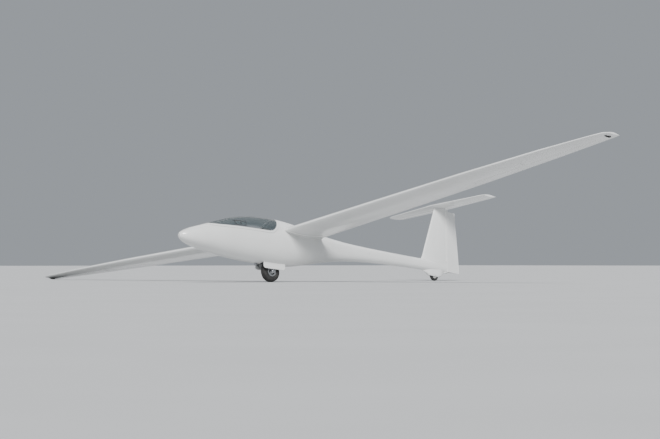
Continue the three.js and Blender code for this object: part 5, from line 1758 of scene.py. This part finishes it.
# Instruments: across, up, radius, angle of the needle, number of ticks
DIALS = [
    (-118, 800, 41, 200, 25),
    (0, 836, 41, 95, 33),
    (118, 800, 41, 180, 21),
    (-62, 730, 41, 40, 25),
    (62, 730, 41, 135, 37),
    (0, 688, 20, 60, 13),
]
DIAL_LOOKS = {
    "dial_bezels": ("black_panel", "dark_plastic"),
    "dial_faces": ("black_panel", "dial_black"),
    "dial_marks": ("black_panel", "dial_white"),
    "dial_glasses": ("canopy_clear", "canopy_clear"),
    "panel_screws": ("grey_steel", "bright_steel"),
}
FIRST_TICK, SWEEP = 225, 270
SMALLEST_WITH_SCREWS = 30


def black_piece(name, obj, finish, *nodes, smooth=35):
    return piece(name, obj, "black_panel", finish, *nodes, smooth=smooth)


def build_board():
    """The panel's board with its dial holes, the cowl over it and the lip round its edge."""
    x, foot = PANEL_X, 668
    start, long, lining = 12, 198, 0.975
    holes = [bar((x - 10, y, z), (x + 20, y, z), r - 3) for y, z, r, _, _ in DIALS]
    board = softened(cut(plate(PANEL_FACE, x, x + 5), *holes), 0.8)
    black_piece("panel_board", board, "panel_paint", "instrument_panel")

    rings = []
    for share in np.linspace(0, 1, 26):
        width, height = 1 - 0.45 * share**1.5, 1 - 0.38 * share**1.3
        place = x + start + long * share
        rings.append([(place, y * width, foot + (z - PANEL_LOW) * height) for y, z in PANEL_FACE])
    rings[-1] = [(x + start + long, y * 0.94, foot + (z - foot) * 0.96) for _, y, z in rings[-1]]
    cowl = loft(rings)
    room = []
    for ring in ([(x - 20, y, z) for y, z in PANEL_FACE], *rings[:14]):
        room.append([(px, y * lining, foot + (z - foot) * lining + 0.5) for px, y, z in ring])
    cut(cowl, loft(room))
    black_piece("panel_cowl", softened(cowl, 1.2, 2, 50), "cowl_skin")

    loops = []
    for (y, z), (iy, iz) in zip(offset_loop(PANEL_FACE, 1.4), offset_loop(PANEL_FACE, -1.6)):
        loops.append([(x - 3, y, z), (x + 14, y, z), (x + 14, iy, iz), (x - 3, iy, iz)])
    black_piece("panel_lip", cut(hoop(loops), box(x - 20, x + 30, -300, 300, 600, 664)), "cowl_skin")


def build_pedestal():
    """The pedestal down to the floor, narrower towards the pilot's shins."""
    corner = 12
    rings = []
    levels = ((300, 78, 172, 22), (480, 75, 170, 20), (600, 72, 168, 16), (662, 70, 165, 7))
    for z, half, front, rear in levels:
        x0, x1 = PANEL_X + rear, PANEL_X + front
        left = [(x0, corner - half), (x0 + corner, -half), (x1 - corner, -half), (x1, corner - half)]
        rings.append([(x, y, z) for x, y in left + [(x, -y) for x, y in left[::-1]]])
    black_piece("panel_pedestal", common(loft(rings), cabin()), "panel_paint")


def dial_needle(y, z, r, angle):
    """A dial's hand, and the hub it turns on."""
    outline = [(-1.2, -r * 0.2), (1.2, -r * 0.2), (1.6, 0), (0.5, r * 0.74), (-0.5, r * 0.74), (-1.6, 0)]
    hand = moved(slab(outline, -0.4, 0.4), Matrix.Rotation(math.pi / 2, 4, "Z"))
    turn = Matrix.Rotation(math.radians(angle), 4, "X")
    moved(hand, Matrix.Translation((PANEL_X - 0.6, y, z)) @ turn)
    return [hand, turned([(0, 0), (0, 3.4), (1.6, 3), (1.6, 0)], (PANEL_X, y, z), TO_PILOT, 24)]


def dial_tick(y, z, r, number, count):
    """One of a dial's marks, longer at every fourth place."""
    angle = math.radians(FIRST_TICK - SWEEP * number / (count - 1))
    long, wide = (r * 0.2, r * 0.03) if number % 4 == 0 else (r * 0.11, r * 0.018)
    tick = box(-2.2, -1.0, -wide, wide, r * 0.84 - long, r * 0.84)
    return moved(tick, Matrix.Translation((PANEL_X + 3.2, y, z)) @ Matrix.Rotation(angle, 4, "X"))


def build_dials():
    """The instruments, and the screws that hold them and the board."""
    parts, needles = {name: [] for name in DIAL_LOOKS}, []
    for y, z, r, angle, ticks in DIALS:
        at = (PANEL_X, y, z)
        bezel = [(-6, r - 4), (-6, r - 2.6), (0.3, r), (5.5, r), (7, r - 1.5), (7, r - 4), (4, r - 6)]
        bezel.append((-6, r - 6))
        parts["dial_bezels"].append(turned(bezel, at, TO_PILOT, 64, closed=True))
        parts["dial_faces"].append(disc(at, TO_PILOT, -5, -2, r - 4.5, 48))
        parts["dial_glasses"].append(disc(at, TO_PILOT, 4.2, 5, r - 5.6, 48))
        parts["dial_marks"] += [dial_tick(y, z, r, k, ticks) for k in range(ticks)]
        needles += dial_needle(y, z, r, angle)
        if r > SMALLEST_WITH_SCREWS:
            for k in range(4):
                a = (k + 0.5) * math.pi / 2
                foot = (PANEL_X, y + (r + 4.5) * math.cos(a), z + (r + 4.5) * math.sin(a))
                parts["panel_screws"].append(screw(foot, TO_PILOT, 2.4, 1.4))
    parts["dial_marks"] += needles
    for out, z in ((175, 680), (172, 835), (80, 882)):
        parts["panel_screws"] += [screw((PANEL_X, y, z), TO_PILOT, 3.4, 1.8) for y in (-out, out)]
    for name, look in DIAL_LOOKS.items():
        piece(name, merged(*parts[name]), *look)


def build_radio():
    """A radio and three small switches beside the small dial."""
    x = PANEL_X
    radio = rounded_box(x - 9, x + 1, 56, 118, 668, 688, 2)
    profile = [(0, 0), (0, 6), (7, 5.2), (8, 4), (8, 0)]
    knobs = [turned(profile, (x - 9, y, 678), TO_PILOT, 24) for y in (66, 108)]
    black_piece("radio", merged(radio, *knobs), "dark_plastic")
    toggles, nuts, z = [], [], 684
    for y in (-58, -80, -102):
        line = [(x, y, z), (x - 8, y, z + 1), (x - 15, y, z + 5)]
        toggles.append(tube(line, [1.6] * 8 + [2.6] * 4, 12, 14))
        nuts.append(disc((x, y, z), TO_PILOT, 0, 2.5, 5, 6))
    piece("switches", merged(*toggles, *nuts), "grey_steel", "bright_steel")
    display = rounded_box(x - 10.2, x - 8.8, 76, 98, 672, 684, 0.5)
    black_piece("radio_display", display, "display_amber")


def build_release_knob():
    """The tow release: a turned knob on a rod, and the gland the rod comes through."""
    x, y = PANEL_X, 150
    start = x - SEAT_GAP
    profile = [(0, 0), (0, 9), (3, 13), (9, 16.5), (17, 17), (25, 15.5), (31, 10), (34, 0)]
    knob = join(turned(profile, (x - 33, y, 690), TO_PILOT, 40), bar((start, y, 692), (x - 36, y, 690), 4))
    piece("release_knob", knob, "yellow_knob", "yellow_plastic", "tow_release_knob")
    profile = [(0, 4.6), (0, 9), (4, 8.5), (6, 7), (6, 4.6)]
    gland = turned(profile, (start, y, 692), (-1, 0, -0.055), 32, closed=True)
    piece("release_gland", gland, "grey_steel", "bright_steel")


# Controls

STICK_FOOT = 366


def stick_grip():
    """A grip with hollows for the fingers, leaning back over the shaft's top."""
    (x, z), high = (962, 636), 112
    shares = np.linspace(0, 1, 46)
    hollows = 2.2 * np.sin(shares * math.pi * 7) * (shares > 0.12) * (shares < 0.78)
    radii = 16 + hollows + 15 * np.clip(shares - 0.8, 0, 1)
    radii = np.where(shares > 0.965, radii * 0.72, radii)
    line = np.stack([x - 14 * shares - 6 * shares**2, 0 * shares, z + high * shares], axis=-1)
    return tube(line, radii, 46, 36, smooth=False)


def stick_boot():
    """A pleated boot, from its foot up round the shaft."""
    rings = []
    for k, share in enumerate(np.linspace(0, 1, 25)):
        r = 44 - 30 * share**0.8 + (2.6 if k % 2 else -1.2)
        x, z = 1030 - 10 * share, STICK_FOOT - 2 + 52 * share
        rings.append([(x + r * 0.9 * math.cos(a), r * math.sin(a), z) for a in around(40)])
    return loft(rings)


def build_stick():
    """The control stick: a bent shaft, its grip with a button, and the boot on its base."""
    line = [(1023, 0, STICK_FOOT), (1012, 0, 460), (1000, 0, 556), (982, 0, 600), (962, 0, 650)]
    piece("stick_shaft", tube(line, 10.5, 60, 28), "grey_steel", "painted_steel")
    black_piece("stick_grip", stick_grip(), "grip_rubber", "control_stick", smooth=60)
    black_piece("stick_boot", stick_boot(), "boot_leather", smooth=60)
    base = common(rounded_box(980, 1080, -52, 52, 300, STICK_FOOT, 4), cabin())
    black_piece("stick_base", base, "panel_paint")
    button = turned([(0, 0), (0, 6), (2, 6), (3, 5), (3, 0)], (947, 0, 747), (-0.4, 0, 1), 28)
    black_piece("stick_button", button, "red_plastic")


def build_pedals():
    """The pedals: plates with ribbed treads, a round top and a heel edge, on a cross tube."""
    x, out, half, low, high, tube_z = 1560, 88, 42, 520, 660, 530
    frame_parts, treads = [], []
    for _, sign in SIDES:
        y = sign * out
        outline = rounded([(y - half, low), (y + half, low), (y + half - 4, high), (y - half + 4, high)])
        holes = [bar((x - 9, y + dy, z), (x + 9, y + dy, z), 10, 28) for dy in (-18, 18) for z in (560, 600)]
        frame_parts += [
            cut(softened(plate(outline, x - 3, x + 3), 1), *holes),
            softened(bar((x, y - half, high + 4), (x, y + half, high + 4), 11, 32), 1.5),
            rounded_box(x - 6, x + 3, y - half + 2, y + half - 2, low - 4, low + 4, 1.5),
            tube([(x + 2, y, 640), (x + 30, y * 0.7, 590), (x + 8, y * 0.6, 532)], 5, 26, 16),
        ]
        treads += [rounded_box(x - 6.5, x - 2.8, y - 32, y + 32, z - 3, z + 3, 1.2) for z in (632, 642, 652)]
    frame_parts += [cross_bar(x, tube_z, 130, 12), rounded_box(x - 30, x + 30, -26, 26, 400, tube_z + 5, 4)]
    for y in (-out - 36, -out + 36, out - 36, out + 36):
        frame_parts.append(rounded_box(x - 16, x + 16, y - 4, y + 4, tube_z - 22, tube_z + 22, 3))
    piece("pedal_frame", common(join(*frame_parts), cabin()), "alloy", "alloy", "rudder_pedals")
    piece("pedal_treads", merged(*treads), "skid_rubber", "seal_rubber")


# Levers: side, height, rear and front end of the rod, slot and finish of the handle
LEVERS = {
    "airbrake": (1, 650, 470, 900, "blue_handle", "blue_plastic"),
    "gear": (-1, 620, 560, 960, "black_panel", "grip_rubber"),
}
LEVER_Y = 258


def build_lever(name, sign, z, x0, x1, slot, finish):
    """A lever on a side wall: a rod that slides in two brackets, with a handle at its front end."""
    y, along, rod_r = sign * LEVER_Y, (1, 0, 0), 7
    rod = common(pin((x0, y, z), along, x1 - x0, rod_r, 1, 28), cabin())
    piece(f"{name}_rod", rod, "grey_steel", "bright_steel")

    ring = [(-14, 7.3), (-14, 12), (-12, 13.5), (12, 13.5), (14, 12), (14, 7.3)]
    foot = [(0, 0), (0, 22), (4, 22), (5, 20), (5, 0)]
    brackets = []
    for x in (x0 + 40, x1 - 90):
        wall = sign * (hull_side(x, z, HULL_WALL) + 2)
        brackets += [
            turned(ring, (x, y, z), along, 32, closed=True),
            bar((x, y + sign * 10, z), (x, sign * 400, z), 10, 28),
            turned(foot, (x, wall, z), (0, -sign, 0), 32),
        ]
    piece(f"{name}_brackets", common(join(*brackets), cabin()), "grey_trim", "painted_steel")

    shares = np.linspace(0, 1, 40)
    radii = 11 + 2.2 * np.sin(shares * math.pi) + 0.8 * np.cos(shares * math.pi * 8)
    radii = np.where((shares < 0.03) | (shares > 0.97), rod_r, radii)
    line = np.array([x1 - 8, y, z]) + np.array([0, -sign * 62, 14]) * shares[:, None]
    handle = tube(line, radii, 40, 30, smooth=False)
    piece(f"{name}_handle", handle, slot, finish, f"{name}_lever", smooth=60)


# The studio

FLOOR_HALF = 150
# Soft lamps, even over the whole span: where each shines from, its width in degrees, its power
LAMPS = {
    "key": ((-20, -24, 26), 24, 4.6),
    "fill": ((-24, 18, 12), 60, 0.7),
    "back": ((24, 10, 18), 60, 0.8),
}
LAMPS_AIM = Vector((0, 0, 1))
# The camera stands 41.6 degrees ahead of the left side and close above the floor, as in the photograph
CAMERA = {"lens": 121, "angle": 318.4, "away": 40, "height": 0.35, "target": Vector((0.08, -0.065, 1.12))}


def aimed(obj, place, target):
    """Puts a lamp or camera at a place, facing the target."""
    obj.location = place
    obj.rotation_euler = (target - Vector(place)).to_track_quat("-Z", "Y").to_euler()
    return obj


def build_stage():
    """The floor, the sky, the lamps and the camera."""
    corners = [(x, y, 0) for x, y in rectangle(-FLOOR_HALF, FLOOR_HALF, -FLOOR_HALF, FLOOR_HALF)]
    floor = new_object(corners, [(0, 1, 2, 3)], "floor")
    material, tree, shader = new_material("floor", Roughness=0.9)
    stops = (0.3, (0.5, 0.505, 0.51)), (0.7, (0.53, 0.535, 0.54))
    ramp(tree, noise(tree, 0.6, 5), shader.inputs["Base Color"], *stops)
    floor.data.materials.append(material)

    world = bpy.data.worlds.new("studio")
    bpy.context.scene.world = world
    world.use_nodes = True
    put(world.node_tree.nodes["Background"], Color=(0.80, 0.86, 0.93, 1), Strength=0.42)
    for name, (place, wide, power) in LAMPS.items():
        light = bpy.data.lights.new(name, "SUN")
        light.energy = power
        light.angle = math.radians(wide)
        aimed(linked(name, light), place, LAMPS_AIM)

    view = bpy.data.cameras.new("camera")
    view.lens = CAMERA["lens"]
    view.clip_end = 400
    angle, target = math.radians(CAMERA["angle"]), CAMERA["target"]
    place = target + Vector((math.sin(angle), -math.cos(angle), 0)) * CAMERA["away"]
    place.z = CAMERA["height"]
    bpy.context.scene.camera = aimed(linked("camera", view), place, target)


build_tailplane()
build_fuselage(build_fin())
build_canopy()
both_sides(build_wing)
build_tyres()
build_main_hub()
build_tail_hub()
build_main_axle()
build_fork()
build_bay()
both_sides(build_door)
build_tow_hook()
build_tail_fairing()
both_sides(build_tip_skid)
build_probe()
build_seals()
build_window()
build_latch()
build_ports()
both_sides(build_pushrod_fairing)
build_seat()
build_harness(*build_pads())
build_board()
build_pedestal()
build_dials()
build_radio()
build_release_knob()
build_stick()
build_pedals()
for name, lever in LEVERS.items():
    build_lever(name, *lever)
build_stage()
